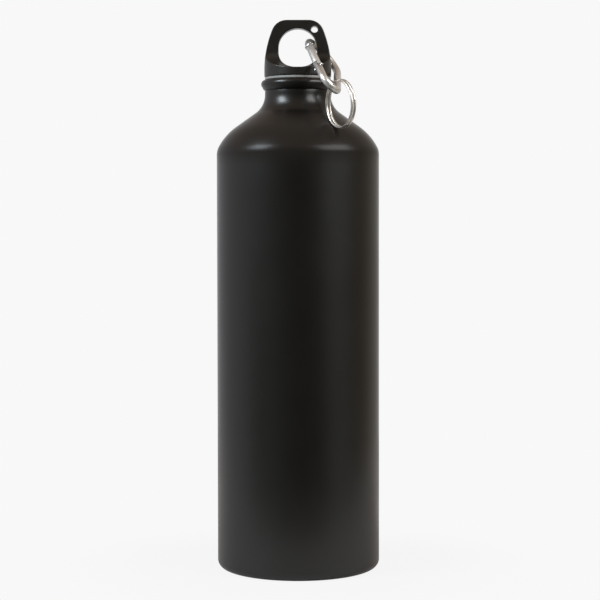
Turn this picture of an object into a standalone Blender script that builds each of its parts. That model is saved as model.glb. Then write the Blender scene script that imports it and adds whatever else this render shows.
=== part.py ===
"""Aluminum bottle with a screw-in loop cap, a small carabiner and a split ring.

Metres, +Z up. The origin is the middle of the face that the bottle stands on.
The front is -Y, and the carabiner hangs at the right of the loop, towards +X.
"""

import math

import bmesh
import bpy
from mathutils import Euler, Matrix, Vector

# Bottle body
BODY_RADIUS = 0.0395
BODY_WALL = 0.001
BODY_TOP = 0.2016
BASE_CORNER = 0.004
BASE_RING_WIDTH = 0.0045
BASE_DOME_RISE = 0.006
BASE_FLOOR = 0.0012

# Shoulder: two arcs that turn in, a straight cone, and a fillet into the neck
SHOULDER_CORNER_RADIUS = 0.008
SHOULDER_BELLY_RADIUS = 0.028
SHOULDER_CORNER_TURN = math.radians(28.0)
SHOULDER_TURN = math.radians(54.5)
NECK_FILLET = 0.011
NECK_INNER_FILLET = 0.003

# Neck, its curled lip and the crease under the curl
NECK_RADIUS = 0.016
NECK_WALL = 0.0021
NECK_TOP = 0.23245
CREASE_HEIGHT = 0.0004
CREASE_DEPTH = 0.0005
LIP_RADIUS = 0.0021
LIP_OVERHANG = 0.00186
LIP_TOP = 0.23785
LIP_INNER_ROUND = 0.0013

# Screw thread, the same lead on the neck and on the cap's plug
THREAD_LEAD = 0.004
THREAD_HEIGHT = 0.0009
THREAD_ROOT_WIDTH = 0.0016
THREAD_CREST_WIDTH = 0.0008
THREAD_SINK = 0.0003
THREAD_FLANK_GAP = 0.0002
THREAD_FADE = math.radians(50.0)
THREAD_TIP_GAP = 0.0004
NECK_THREAD_TURNS = 2.0
PLUG_THREAD_TURNS = 2.2
THREAD_BELOW_LIP = 0.0030

# Gasket between the lip and the cap
GASKET_THICKNESS = 0.0009
GASKET_INSET = 0.0003
GASKET_ROUND = 0.0003
SEAT_GAP = 0.0002

# Cap: a round collar, a loop plate that rises from it, and a threaded plug
COLLAR_OVERHANG = 0.0003
COLLAR_CHAMFER = 0.0003
COLLAR_RIM_HEIGHT = 0.00385
COLLAR_SCOOP_RISE = 0.0039
COLLAR_SCOOP_BLEND = 0.0041
LOOP_THICKNESS = 0.007
LOOP_LEG_WIDTH = 0.007
LOOP_SIDE_ARC = 0.0548
LOOP_SIDE_ARC_RISE = 0.00255
LOOP_CORNER = 0.0075
LOOP_EDGE_ROUND = 0.0007
HOLE_CENTRE_RISE = 0.01035
HOLE_TOP_WALL = 0.00405
HOLE_FLOOR_CORNER = 0.0082
HOLE_FLOOR_LEAST_FLAT = 0.001
LANYARD_HOLE_RADIUS = 0.00182
LANYARD_WALL = 0.00088
LANYARD_TURN = math.radians(47.3)
PLUG_GAP = 0.0013
PLUG_NECK_GAP = 0.001
PLUG_NECK_LENGTH = 0.0022
PLUG_LENGTH = 0.0155
PLUG_CHAMFER = 0.0007
PLUG_WALL = 0.0024
PLUG_CEILING = 0.002
DISC_LEDGE = 0.0007
DISC_THICKNESS = 0.0014
DISC_DISH = 0.0005
DISC_RIM = 0.002

# Carabiner: a round bar bent to a long loop, with a sprung gate in one side
BAR_DIAMETER = 0.0036
CLIP_TOP_ARC = 0.0103
CLIP_BOTTOM_ARC = 0.0053
CLIP_CENTRE_DISTANCE = 0.029
CLIP_HOLE_GAP = 0.00255
CLIP_RISE = 0.0014
CLIP_HANG_TURN = math.radians(155.0)
CLIP_TILT = (math.radians(-53.6), math.radians(-39.5), math.radians(-19.0))
CLIP_SWING_AXIS_SHARES = (-0.20027, -0.9678, -0.15252)
CLIP_SWING_LIMIT = math.radians(60.0)
GATE_LENGTH = 0.0206
GATE_HOOK = 0.0016
GATE_SWEEP_GAP = 0.0003
TONGUE_THICKNESS = 0.0014
TONGUE_LENGTH = 0.0026
FIT_GAP = 0.00015
CHEEK_FLAT = 0.0033
PIN_DIAMETER = 0.0012
PIN_LENGTH = 0.0052
PIN_CHAMFER = 0.0002
RIVET_HEAD_DIAMETER = 0.0022
RIVET_HEAD_HEIGHT = 0.0004
SPRING_WIRE = 0.00025
SPRING_DIAMETER = 0.00135
SPRING_TURNS = 6
SPRING_LENGTH = 0.0052
BORE_GAP = 0.0002
PLUNGER_HEAD = 0.0008
PLUNGER_STEM = 0.0008

# Split ring: one wire of almost two turns that lie side by side
RING_WIRE = 0.00115
RING_OUTER_DIAMETER = 0.0233
RING_STRAND_GAP = 0.00042
RING_CROSSING_TURN = math.radians(20.0)
RING_END_GAP_TURN = math.radians(4.0)
RING_HANG_TURN = math.radians(-53.4)
RING_PLAY = 0.0007
RING_YAW = math.radians(56.5)
RING_LEAN = math.radians(12.5)
RING_ROLL = math.radians(200.0)
RING_REST_GAP = 0.00017

# Facets
BODY_SIDES = 60
CAP_SIDES = 60
BAR_SIDES = 14
PIN_SIDES = 16
THREAD_STEPS = 30
OVERRUN = 0.002


def clear_scene():
    for obj in list(bpy.data.objects):
        bpy.data.objects.remove(obj, do_unlink=True)


def material(name, colour, roughness, metallic):
    mat = bpy.data.materials.new(name)
    mat.use_nodes = True
    shader = mat.node_tree.nodes["Principled BSDF"]
    shader.inputs["Base Color"].default_value = (*colour, 1.0)
    shader.inputs["Roughness"].default_value = roughness
    shader.inputs["Metallic"].default_value = metallic
    return mat


def new_object(name, bm, mat=None, parent=None):
    """Turn a bmesh into a named object and free the bmesh."""
    mesh = bpy.data.meshes.new(name)
    bm.normal_update()
    bmesh.ops.recalc_face_normals(bm, faces=bm.faces)
    bm.to_mesh(mesh)
    bm.free()
    obj = bpy.data.objects.new(name, mesh)
    bpy.context.scene.collection.objects.link(obj)
    if mat:
        mesh.materials.append(mat)
    if parent:
        obj.parent = parent
    mesh.shade_smooth()
    mesh.set_sharp_from_angle(angle=math.radians(35.0))
    return obj


def cutter(name, bm, parent=None):
    obj = new_object(name, bm, parent=parent)
    obj.hide_render = True
    obj.display_type = "WIRE"
    return obj


def boolean(obj, tool, operation):
    mod = obj.modifiers.new(operation.title() + " " + tool.name, "BOOLEAN")
    mod.operation = operation
    mod.solver = "EXACT"
    mod.object = tool


def empty(name, location, parent=None):
    obj = bpy.data.objects.new(name, None)
    bpy.context.scene.collection.objects.link(obj)
    obj.location = location
    if parent:
        obj.parent = parent
    return obj


def arc(cx, cy, radius, start, end, steps, skip_first=False):
    """Points of an arc, from the start angle to the end angle."""
    first = 1 if skip_first else 0
    points = []
    for i in range(first, steps + 1):
        angle = start + (end - start) * i / steps
        points.append((cx + radius * math.cos(angle), cy + radius * math.sin(angle)))
    return points


def turned(points, sides):
    """Spin an outline of (radius, height) points about Z into one closed body.

    The outline starts and ends on the axis, or is a closed loop away from it.
    """
    bm = bmesh.new()
    on_axis = points[0][0] == 0 and points[-1][0] == 0
    rings = []
    for radius, height in points:
        if radius == 0:
            rings.append([bm.verts.new((0, 0, height))])
            continue
        ring = []
        for i in range(sides):
            angle = math.tau * i / sides
            ring.append(bm.verts.new((radius * math.cos(angle), radius * math.sin(angle), height)))
        rings.append(ring)
    pairs = list(zip(rings, rings[1:]))
    if not on_axis:
        pairs.append((rings[-1], rings[0]))
    for upper, lower in pairs:
        for i in range(sides):
            j = (i + 1) % sides
            corners = [upper[i % len(upper)], upper[j % len(upper)]]
            corners += [lower[j % len(lower)], lower[i % len(lower)]]
            unique = []
            for vert in corners:
                if vert not in unique:
                    unique.append(vert)
            bm.faces.new(unique)
    return bm


def prism(points, axis, low, high):
    """Extrude a closed outline along X or Y, from low to high."""
    bm = bmesh.new()
    ends = []
    for place in (low, high):
        ring = []
        for a, b in points:
            ring.append(bm.verts.new((place, a, b) if axis == "X" else (a, place, b)))
        ends.append(ring)
        bm.faces.new(ring)
    count = len(points)
    for i in range(count):
        j = (i + 1) % count
        bm.faces.new((ends[0][i], ends[0][j], ends[1][j], ends[1][i]))
    return bm


def tube(path, frames, radius, sides):
    """Sweep a circle along a list of points, with its ends closed.

    Each frame is the pair of directions that the circle lies in at its point.
    """
    bm = bmesh.new()
    rings = []
    for point, (side, up) in zip(path, frames):
        ring = []
        for i in range(sides):
            angle = math.tau * (i + 0.5) / sides
            ring.append(bm.verts.new(point + radius * (math.cos(angle) * side + math.sin(angle) * up)))
        rings.append(ring)
    for a, b in zip(rings, rings[1:]):
        for i in range(sides):
            j = (i + 1) % sides
            bm.faces.new((a[i], a[j], b[j], b[i]))
    bm.faces.new(rings[0])
    bm.faces.new(rings[-1])
    return bm


def rod(diameter, low, high, sides, turn=Matrix(), place=Vector()):
    """A round rod along Z from low to high, then turned and placed."""
    radius = diameter / 2
    bm = turned([(0, high), (radius, high), (radius, low), (0, low)], sides)
    bm.transform(Matrix.Translation(place) @ turn)
    return bm


def box(low, high, turn=Matrix(), place=Vector()):
    """A box between two corners, then turned and placed."""
    bm = bmesh.new()
    bmesh.ops.create_cube(bm, size=1)
    size = Vector(high) - Vector(low)
    middle = (Vector(high) + Vector(low)) / 2
    bm.transform(Matrix.Translation(middle) @ Matrix.Diagonal((*size, 1)))
    bm.transform(Matrix.Translation(place) @ turn)
    return bm


# Heights that pieces share
LIP_CENTRE_Z = LIP_TOP - LIP_RADIUS
GASKET_BOTTOM = LIP_TOP + SEAT_GAP
COLLAR_BOTTOM = GASKET_BOTTOM + GASKET_THICKNESS + SEAT_GAP
COLLAR_RIM = COLLAR_BOTTOM + COLLAR_RIM_HEIGHT
COLLAR_RADIUS = NECK_RADIUS + COLLAR_OVERHANG
HOLE_RADIUS = COLLAR_RADIUS - LOOP_LEG_WIDTH
HOLE_CENTRE_Z = COLLAR_RIM + HOLE_CENTRE_RISE
LOOP_TOP = HOLE_CENTRE_Z + HOLE_RADIUS + HOLE_TOP_WALL
PLUG_BOTTOM = COLLAR_BOTTOM - PLUG_LENGTH
BORE_RADIUS = NECK_RADIUS - NECK_WALL
PLUG_RADIUS = BORE_RADIUS - PLUG_GAP
PLUG_NECK_RADIUS = BORE_RADIUS - PLUG_NECK_GAP
BAR_RADIUS = BAR_DIAMETER / 2
DOME_EDGE = BODY_RADIUS - BASE_CORNER - BASE_RING_WIDTH
THREAD_TOP = LIP_TOP - THREAD_BELOW_LIP


def thread_ridge(root_radius, crest_radius, start_z, turns):
    """A helical ridge of trapezoid section that fades into its wall at both ends."""
    bm = bmesh.new()
    outward = 1 if crest_radius > root_radius else -1
    sunk = root_radius - outward * THREAD_SINK
    steps = round(turns * THREAD_STEPS)
    rings = []
    for i in range(steps + 1):
        angle = math.tau * turns * i / steps
        height = start_z + THREAD_LEAD * angle / math.tau
        share = min(1.0, angle / THREAD_FADE, (math.tau * turns - angle) / THREAD_FADE)
        crest = sunk + (crest_radius - sunk) * max(share, 0.1)
        ring = []
        for radius, offset in (
            (sunk, -THREAD_ROOT_WIDTH / 2),
            (crest, -THREAD_CREST_WIDTH / 2),
            (crest, THREAD_CREST_WIDTH / 2),
            (sunk, THREAD_ROOT_WIDTH / 2),
        ):
            x = radius * math.cos(angle)
            y = radius * math.sin(angle)
            ring.append(bm.verts.new((x, y, height + offset)))
        rings.append(ring)
    for a, b in zip(rings, rings[1:]):
        for i in range(4):
            j = (i + 1) % 4
            bm.faces.new((a[i], a[j], b[j], b[i]))
    bm.faces.new(rings[0])
    bm.faces.new(rings[-1])
    return bm


def shoulder_chain(inset, neck_radius, fillet):
    """The shoulder from the body's wall up to the neck, as (radius, height) points.

    The inset is 0 on the outside, and the wall's thickness on the inside.
    """
    corner_x = BODY_RADIUS - SHOULDER_CORNER_RADIUS
    points = arc(corner_x, BODY_TOP, SHOULDER_CORNER_RADIUS - inset, 0, SHOULDER_CORNER_TURN, 4)
    back = SHOULDER_BELLY_RADIUS - SHOULDER_CORNER_RADIUS
    belly_x = corner_x - back * math.cos(SHOULDER_CORNER_TURN)
    belly_z = BODY_TOP - back * math.sin(SHOULDER_CORNER_TURN)
    belly_radius = SHOULDER_BELLY_RADIUS - inset
    points += arc(belly_x, belly_z, belly_radius, SHOULDER_CORNER_TURN, SHOULDER_TURN, 5, True)
    # A straight cone runs from the belly's end to where the fillet touches it
    end_x = belly_x + belly_radius * math.cos(SHOULDER_TURN)
    end_z = belly_z + belly_radius * math.sin(SHOULDER_TURN)
    fillet_x = neck_radius + fillet
    touch_x = fillet_x - fillet * math.cos(SHOULDER_TURN)
    touch_z = end_z + (end_x - touch_x) / math.tan(SHOULDER_TURN)
    fillet_z = touch_z + fillet * math.sin(SHOULDER_TURN)
    points += arc(fillet_x, fillet_z, fillet, math.pi + SHOULDER_TURN, math.pi, 6)
    return points


def bottle_outline():
    """The wall's outline: up the outside, over the lip and down the inside."""
    dome_radius = (DOME_EDGE**2 + BASE_DOME_RISE**2) / (2 * BASE_DOME_RISE)
    dome_centre = BASE_DOME_RISE - dome_radius
    dome_turn = math.asin(DOME_EDGE / dome_radius)
    top = math.pi / 2
    outline = arc(0, dome_centre, dome_radius, top, top - dome_turn, 5)
    outline[0] = (0, outline[0][1])
    outline[-1] = (DOME_EDGE, 0)
    corner_x = BODY_RADIUS - BASE_CORNER
    outline += arc(corner_x, BASE_CORNER, BASE_CORNER, -top, 0, 4)
    outline += shoulder_chain(0, NECK_RADIUS, NECK_FILLET)
    lip_x = NECK_RADIUS + LIP_OVERHANG - LIP_RADIUS
    crease_top = NECK_TOP + CREASE_HEIGHT
    outline.append((NECK_RADIUS, NECK_TOP))
    outline.append((NECK_RADIUS - CREASE_DEPTH, NECK_TOP))
    outline.append((NECK_RADIUS - CREASE_DEPTH, crease_top))
    outline.append((NECK_RADIUS + CREASE_DEPTH, crease_top))
    outline += arc(lip_x, LIP_CENTRE_Z, LIP_RADIUS, math.radians(-25.0), top, 7)
    inner_x = BORE_RADIUS + LIP_INNER_ROUND
    outline += arc(inner_x, LIP_TOP - LIP_INNER_ROUND, LIP_INNER_ROUND, top, math.pi, 4)
    outline += reversed(shoulder_chain(BODY_WALL, BORE_RADIUS, NECK_INNER_FILLET))
    inner_corner = BASE_CORNER - BODY_WALL
    outline += arc(corner_x, BASE_CORNER, inner_corner, 0, -top, 3)
    outline += arc(0, dome_centre, dome_radius + BASE_FLOOR, top - dome_turn, top, 4)
    outline[-1] = (0, outline[-1][1])
    return outline


def make_bottle():
    mat = material("Black coated aluminum", (0.012, 0.0115, 0.011), 0.42, 0.0)
    bottle = new_object("bottle_shell", turned(bottle_outline(), BODY_SIDES), mat)
    start = THREAD_TOP - THREAD_LEAD * NECK_THREAD_TURNS
    ridge = thread_ridge(BORE_RADIUS, BORE_RADIUS - THREAD_HEIGHT, start, NECK_THREAD_TURNS)
    boolean(bottle, cutter("neck_thread_ridge", ridge), "UNION")
    return bottle


def make_gasket(parent):
    mat = material("Grey silicone", (0.16, 0.16, 0.155), 0.45, 0.0)
    inner = PLUG_NECK_RADIUS + SEAT_GAP
    top = GASKET_BOTTOM + GASKET_THICKNESS
    outline = [(inner, GASKET_BOTTOM), (inner, top)]
    edge = COLLAR_RADIUS - GASKET_INSET - GASKET_ROUND
    outline += arc(edge, top - GASKET_ROUND, GASKET_ROUND, math.pi / 2, 0, 2)
    outline += arc(edge, GASKET_BOTTOM + GASKET_ROUND, GASKET_ROUND, 0, -math.pi / 2, 2)
    place_under(new_object("cap_gasket", turned(outline, CAP_SIDES), mat), parent)


def place_under(obj, parent):
    """Parent an object whose mesh is in world places, and keep it where it is."""
    obj.parent = parent
    obj.matrix_parent_inverse = parent.matrix_world.inverted()


def scoop_outline():
    """The collar and the loop plate seen from the side, as (y, z) points."""
    half = LOOP_THICKNESS / 2
    reach = COLLAR_RADIUS + OVERRUN
    slope = COLLAR_SCOOP_RISE / (COLLAR_RADIUS - half)
    foot = Vector((COLLAR_RADIUS, COLLAR_RIM))
    bend = Vector((half, COLLAR_RIM + COLLAR_SCOOP_RISE))
    top = Vector((half, COLLAR_RIM + COLLAR_SCOOP_RISE + COLLAR_SCOOP_BLEND))
    side = [(reach, COLLAR_BOTTOM - OVERRUN), (reach, COLLAR_RIM - OVERRUN * slope)]
    for i in range(9):
        t = i / 8
        point = foot * (1 - t) ** 2 + bend * 2 * t * (1 - t) + top * t**2
        side.append((point.x, point.y))
    side.append((half, LOOP_TOP + OVERRUN))
    return side + [(-y, z) for y, z in reversed(side)]


def loop_outline():
    """The cap's front outline as (x, z) points: side arcs, corners and a flat top."""
    arc_z = COLLAR_BOTTOM + LOOP_SIDE_ARC_RISE
    arc_x = COLLAR_RADIUS - LOOP_SIDE_ARC
    corner_z = LOOP_TOP - LOOP_CORNER
    reach = LOOP_SIDE_ARC - LOOP_CORNER
    corner_x = arc_x + math.sqrt(reach**2 - (corner_z - arc_z) ** 2)
    turn = math.atan2(corner_z - arc_z, corner_x - arc_x)
    side = [(COLLAR_RADIUS, COLLAR_BOTTOM - OVERRUN)]
    side += arc(arc_x, arc_z, LOOP_SIDE_ARC, 0, turn, 8)
    side += arc(corner_x, corner_z, LOOP_CORNER, turn, math.pi / 2, 7, True)
    return side + [(-x, z) for x, z in reversed(side)]


def hole_outline():
    """The big hole: a half round top, short straight sides and a round-cornered floor."""
    corner = min(HOLE_FLOOR_CORNER, HOLE_RADIUS - HOLE_FLOOR_LEAST_FLAT)
    floor_z = COLLAR_RIM + corner
    corner_x = HOLE_RADIUS - corner
    points = arc(0, HOLE_CENTRE_Z, HOLE_RADIUS, 0, math.pi, 20)
    points += arc(-corner_x, floor_z, corner, math.pi, 1.5 * math.pi, 9)
    points += arc(corner_x, floor_z, corner, 1.5 * math.pi, math.tau, 9)
    return points


def make_cap(parent):
    mat = material("Black cap plastic", (0.013, 0.013, 0.013), 0.38, 0.0)
    reach = COLLAR_RADIUS + OVERRUN
    collar = [(0, COLLAR_BOTTOM), (COLLAR_RADIUS - COLLAR_CHAMFER, COLLAR_BOTTOM)]
    collar += [(COLLAR_RADIUS, COLLAR_BOTTOM + COLLAR_CHAMFER)]
    collar += [(COLLAR_RADIUS, LOOP_TOP + OVERRUN), (0, LOOP_TOP + OVERRUN)]
    cap = new_object("loop_cap", turned(collar, CAP_SIDES), mat)
    side_tool = cutter("cap_side_outline", prism(scoop_outline(), "X", -reach, reach))
    boolean(cap, side_tool, "INTERSECT")
    boolean(cap, cutter("cap_front_outline", prism(loop_outline(), "Y", -reach, reach)), "INTERSECT")
    boolean(cap, cutter("cap_loop_hole", prism(hole_outline(), "Y", -reach, reach)), "DIFFERENCE")
    reach_out = HOLE_RADIUS + LANYARD_WALL + LANYARD_HOLE_RADIUS
    lanyard_x = reach_out * math.cos(LANYARD_TURN)
    lanyard_z = HOLE_CENTRE_Z + reach_out * math.sin(LANYARD_TURN)
    lanyard = rod(
        2 * LANYARD_HOLE_RADIUS,
        -reach,
        reach,
        20,
        Matrix.Rotation(math.pi / 2, 4, "X"),
        Vector((lanyard_x, 0, lanyard_z)),
    )
    boolean(cap, cutter("cap_lanyard_hole", lanyard), "DIFFERENCE")
    rounding = cap.modifiers.new("Rounded edges", "BEVEL")
    rounding.width = LOOP_EDGE_ROUND
    rounding.segments = 1
    rounding.limit_method = "ANGLE"
    rounding.angle_limit = math.radians(50.0)
    boolean(cap, cutter("cap_plug", plug_bmesh()), "UNION")
    root = PLUG_RADIUS
    crest = BORE_RADIUS - THREAD_TIP_GAP
    ridge = thread_ridge(root, crest, plug_thread_start(), PLUG_THREAD_TURNS)
    boolean(cap, cutter("plug_thread_ridge", ridge), "UNION")
    boolean(cap, cutter("plug_hollow", hollow_bmesh()), "DIFFERENCE")
    place_under(cap, parent)


def plug_bmesh():
    inside = COLLAR_BOTTOM + PLUG_CEILING / 2
    neck_end = COLLAR_BOTTOM - PLUG_NECK_LENGTH
    outline = [(0, inside), (PLUG_NECK_RADIUS, inside), (PLUG_NECK_RADIUS, neck_end)]
    outline += [(PLUG_RADIUS, neck_end - (PLUG_NECK_RADIUS - PLUG_RADIUS))]
    outline += [(PLUG_RADIUS, PLUG_BOTTOM + PLUG_CHAMFER), (PLUG_RADIUS - PLUG_CHAMFER, PLUG_BOTTOM)]
    outline += [(0, PLUG_BOTTOM)]
    return turned(outline, CAP_SIDES)


def hollow_bmesh():
    """The plug's hollow, with a ledge near its mouth for the closing disc."""
    radius = PLUG_RADIUS - PLUG_WALL
    mouth = radius + DISC_LEDGE
    ledge = PLUG_BOTTOM + SEAT_GAP + DISC_THICKNESS + SEAT_GAP
    ceiling = COLLAR_RIM - PLUG_CEILING
    outline = [(0, ceiling), (radius, ceiling), (radius, ledge), (mouth, ledge)]
    outline += [(mouth, PLUG_BOTTOM - OVERRUN), (0, PLUG_BOTTOM - OVERRUN)]
    return turned(outline, CAP_SIDES)


def plug_thread_start():
    """Where the plug's ridge starts, so that its upper flank bears on the neck's ridge."""
    crest_radius = BORE_RADIUS - THREAD_TIP_GAP
    middle = (crest_radius + BORE_RADIUS - THREAD_HEIGHT) / 2
    taper = THREAD_ROOT_WIDTH - THREAD_CREST_WIDTH
    plug_share = (middle - PLUG_RADIUS) / (crest_radius - PLUG_RADIUS)
    neck_share = (BORE_RADIUS - middle) / THREAD_HEIGHT
    plug_width = THREAD_ROOT_WIDTH - taper * plug_share
    neck_width = THREAD_ROOT_WIDTH - taper * neck_share
    drop = (plug_width + neck_width) / 2 + THREAD_FLANK_GAP
    return THREAD_TOP - THREAD_LEAD * NECK_THREAD_TURNS - drop


def make_disc(parent):
    mat = material("Black disc plastic", (0.02, 0.02, 0.02), 0.5, 0.0)
    radius = PLUG_RADIUS - PLUG_WALL + DISC_LEDGE - SEAT_GAP
    bottom = PLUG_BOTTOM + SEAT_GAP
    top = bottom + DISC_THICKNESS
    outline = [(0, top), (radius, top), (radius, bottom)]
    outline += [(radius - DISC_RIM, bottom), (radius - DISC_RIM - DISC_DISH, bottom + DISC_DISH)]
    outline += [(0, bottom + DISC_DISH)]
    place_under(new_object("plug_disc", turned(outline, CAP_SIDES), mat), parent)


# Carabiner places in its own frame: X is the pins' direction, Y runs across from the
# gate side to the spine, and Z runs up to the gate's hinge. The origin is on the bar's
# inner side where it passes through the cap's hole, and the carabiner rocks about it.
CLIP_SPREAD = math.asin((CLIP_BOTTOM_ARC - CLIP_TOP_ARC) / CLIP_CENTRE_DISTANCE)
CLIP_INWARD = Vector((0, -math.cos(CLIP_HANG_TURN), -math.sin(CLIP_HANG_TURN)))
TOP_CENTRE = CLIP_INWARD * (CLIP_TOP_ARC - BAR_RADIUS)
BOTTOM_CENTRE = TOP_CENTRE - Vector((0, 0, CLIP_CENTRE_DISTANCE))
GATE_OUT = Vector((0, -math.cos(CLIP_SPREAD), math.sin(CLIP_SPREAD)))
GATE_DOWN = Vector((0, -GATE_OUT.z, GATE_OUT.y))
GATE_HINGE = TOP_CENTRE + GATE_OUT * CLIP_TOP_ARC


def gate_frame():
    """Turns a shape made along +Z, with +X outwards, onto the gate's line."""
    turn = Matrix((GATE_OUT, GATE_DOWN.cross(GATE_OUT), GATE_DOWN)).transposed().to_4x4()
    return Matrix.Translation(GATE_HINGE) @ turn


def pin_rod(diameter, half_length, along, sides=PIN_SIDES):
    """A rod in the pins' direction, at a distance along the gate from its hinge."""
    turn = Matrix.Rotation(math.pi / 2, 4, "Y")
    place = GATE_HINGE + GATE_DOWN * along
    return rod(diameter, -half_length, half_length, sides, turn, place)


def clip_path():
    """The bar's centre line, from past the gate's hinge over the spine to the nose's tip."""
    spread = CLIP_SPREAD
    path = [GATE_HINGE + GATE_DOWN * BAR_DIAMETER]
    frames = [(Vector((1, 0, 0)), GATE_OUT)]

    def add(centre, radius, angle):
        out = Vector((0, math.cos(angle), math.sin(angle)))
        path.append(centre + out * radius)
        frames.append((Vector((1, 0, 0)), out))

    for i in range(13):
        add(TOP_CENTRE, CLIP_TOP_ARC, math.pi - spread + (2 * spread - math.pi) * i / 12)
    for i in range(11):
        add(BOTTOM_CENTRE, CLIP_BOTTOM_ARC, spread - (math.pi + 2 * spread) * i / 10)
    path.append(GATE_HINGE + GATE_DOWN * (GATE_LENGTH - TONGUE_LENGTH))
    frames.append((Vector((1, 0, 0)), GATE_OUT))
    return path, frames


def make_frame(parent):
    mat = material("Polished nickel plate", (0.62, 0.61, 0.59), 0.16, 1.0)
    path, frames = clip_path()
    frame = new_object("carabiner_frame", tube(path, frames, BAR_RADIUS, BAR_SIDES), mat, parent)
    inner = TONGUE_THICKNESS / 2
    outer = BAR_RADIUS + OVERRUN
    knuckle = 2 * (BAR_RADIUS + GATE_SWEEP_GAP)
    turn = Matrix.Rotation(math.pi / 2, 4, "Y")
    sides = []
    for low, high in ((inner, outer), (-outer, -inner)):
        sides.append(rod(knuckle, low, high, 24, turn, GATE_HINGE))
        start = GATE_LENGTH - TONGUE_LENGTH - OVERRUN
        end = GATE_LENGTH + GATE_HOOK + GATE_SWEEP_GAP
        corner = (-outer, low, start)
        sides.append(box(corner, (outer, high, end), gate_frame()))
    for i, side in enumerate(sides):
        boolean(frame, cutter("frame_tongue_side_%d" % i, side, parent), "DIFFERENCE")
    rounding = [(BAR_RADIUS * math.cos(a), BAR_RADIUS * math.sin(a)) for a in half_turn(0, 10)]
    rounding += [(-outer, 0), (-outer, 2 * outer), (outer, 2 * outer), (outer, 0)]
    knuckle_end = prism(rounding, "Y", -outer, outer)
    knuckle_end.transform(gate_frame())
    boolean(frame, cutter("frame_knuckle_end", knuckle_end, parent), "DIFFERENCE")
    hole = PIN_DIAMETER + 2 * FIT_GAP
    for name, along in (("rivet", 0), ("latch", GATE_LENGTH)):
        boolean(frame, cutter("frame_%s_hole" % name, pin_rod(hole, outer, along), parent), "DIFFERENCE")


def make_gate(parent, hinge_parent):
    mat = material("Polished gate", (0.64, 0.63, 0.61), 0.18, 1.0)
    end = GATE_LENGTH + GATE_HOOK
    place = gate_frame()
    gate = new_object("carabiner_gate", rod(BAR_DIAMETER, -BAR_RADIUS, end, BAR_SIDES), mat, parent)
    gate.data.transform(place)
    outer = BAR_RADIUS + OVERRUN
    slot = TONGUE_THICKNESS / 2 + FIT_GAP
    tools = []
    # Flats and a round end at the hinge: an upright pill that the bar is trimmed to
    pill = [(math.cos(a) * BAR_RADIUS, math.sin(a) * BAR_RADIUS) for a in half_turn(math.pi, 10)]
    pill += [(outer, 0), (outer, end + OVERRUN), (-outer, end + OVERRUN), (-outer, 0)]
    tools.append(("gate_round_end", prism(pill, "Y", -outer, outer), "INTERSECT"))
    for sign in (-1, 1):
        low, high = sorted((sign * CHEEK_FLAT / 2, sign * outer))
        flat = box((-outer, low, -outer), (outer, high, BAR_RADIUS + GATE_SWEEP_GAP))
        tools.append(("gate_flat_%d" % sign, flat, "DIFFERENCE"))
    hinge_slot = box((-outer, -slot, -outer), (outer, slot, BAR_RADIUS + 2 * GATE_SWEEP_GAP))
    latch_start = GATE_LENGTH - TONGUE_LENGTH - 2 * GATE_SWEEP_GAP
    latch_slot = box((-outer, -slot, latch_start), (outer, slot, end + OVERRUN))
    notch_half = PIN_DIAMETER / 2 + GATE_SWEEP_GAP
    notch = box((-notch_half, -outer, GATE_LENGTH - notch_half), (outer, outer, GATE_LENGTH + notch_half))
    bore = SPRING_DIAMETER + 2 * BORE_GAP
    bore_end = spring_start() + SPRING_LENGTH + SPRING_WIRE + BORE_GAP
    tools.append(("gate_hinge_slot", hinge_slot, "DIFFERENCE"))
    tools.append(("gate_latch_slot", latch_slot, "DIFFERENCE"))
    tools.append(("gate_latch_notch", notch, "DIFFERENCE"))
    tools.append(("gate_spring_bore", rod(bore, BAR_RADIUS, bore_end, PIN_SIDES), "DIFFERENCE"))
    for name, bm, operation in tools:
        bm.transform(place)
        boolean(gate, cutter(name, bm, parent), operation)
    hole = pin_rod(PIN_DIAMETER + 2 * FIT_GAP, outer, 0)
    boolean(gate, cutter("gate_rivet_hole", hole, parent), "DIFFERENCE")
    for obj in [gate] + [mod.object for mod in gate.modifiers]:
        move_to_hinge(obj, hinge_parent)


def half_turn(start, steps):
    """Angles over a half circle, for a round end."""
    return [start + math.pi * i / steps for i in range(steps + 1)]


def move_to_hinge(obj, hinge_parent):
    """Hang an object on the gate's own axis, with its mesh measured from there."""
    obj.parent = hinge_parent
    obj.data.transform(Matrix.Translation(-GATE_HINGE))


def spring_start():
    """Where the spring begins, past the plunger, along the gate from its hinge."""
    return BAR_RADIUS + BORE_GAP + PLUNGER_STEM + PLUNGER_HEAD + SPRING_WIRE


def make_pins(parent):
    mat = material("Steel pins", (0.55, 0.54, 0.52), 0.25, 1.0)
    half = CHEEK_FLAT / 2 + FIT_GAP
    radius = PIN_DIAMETER / 2
    head = RIVET_HEAD_DIAMETER / 2
    crown = half + RIVET_HEAD_HEIGHT
    side = [(0, crown), (head / 2, crown - RIVET_HEAD_HEIGHT / 4), (head, half + RIVET_HEAD_HEIGHT / 4)]
    side += [(head, half), (radius, half)]
    outline = side + [(r, -z) for r, z in reversed(side)]
    rivet = turned(outline, PIN_SIDES)
    rivet.transform(Matrix.Translation(GATE_HINGE) @ Matrix.Rotation(math.pi / 2, 4, "Y"))
    new_object("gate_rivet", rivet, mat, parent)
    end = PIN_LENGTH / 2
    side = [(0, end), (radius - PIN_CHAMFER, end), (radius, end - PIN_CHAMFER)]
    outline = side + [(r, -z) for r, z in reversed(side)]
    pin = turned(outline, PIN_SIDES)
    place = GATE_HINGE + GATE_DOWN * GATE_LENGTH
    pin.transform(Matrix.Translation(place) @ Matrix.Rotation(math.pi / 2, 4, "Y"))
    new_object("gate_latch_pin", pin, mat, parent)


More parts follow.
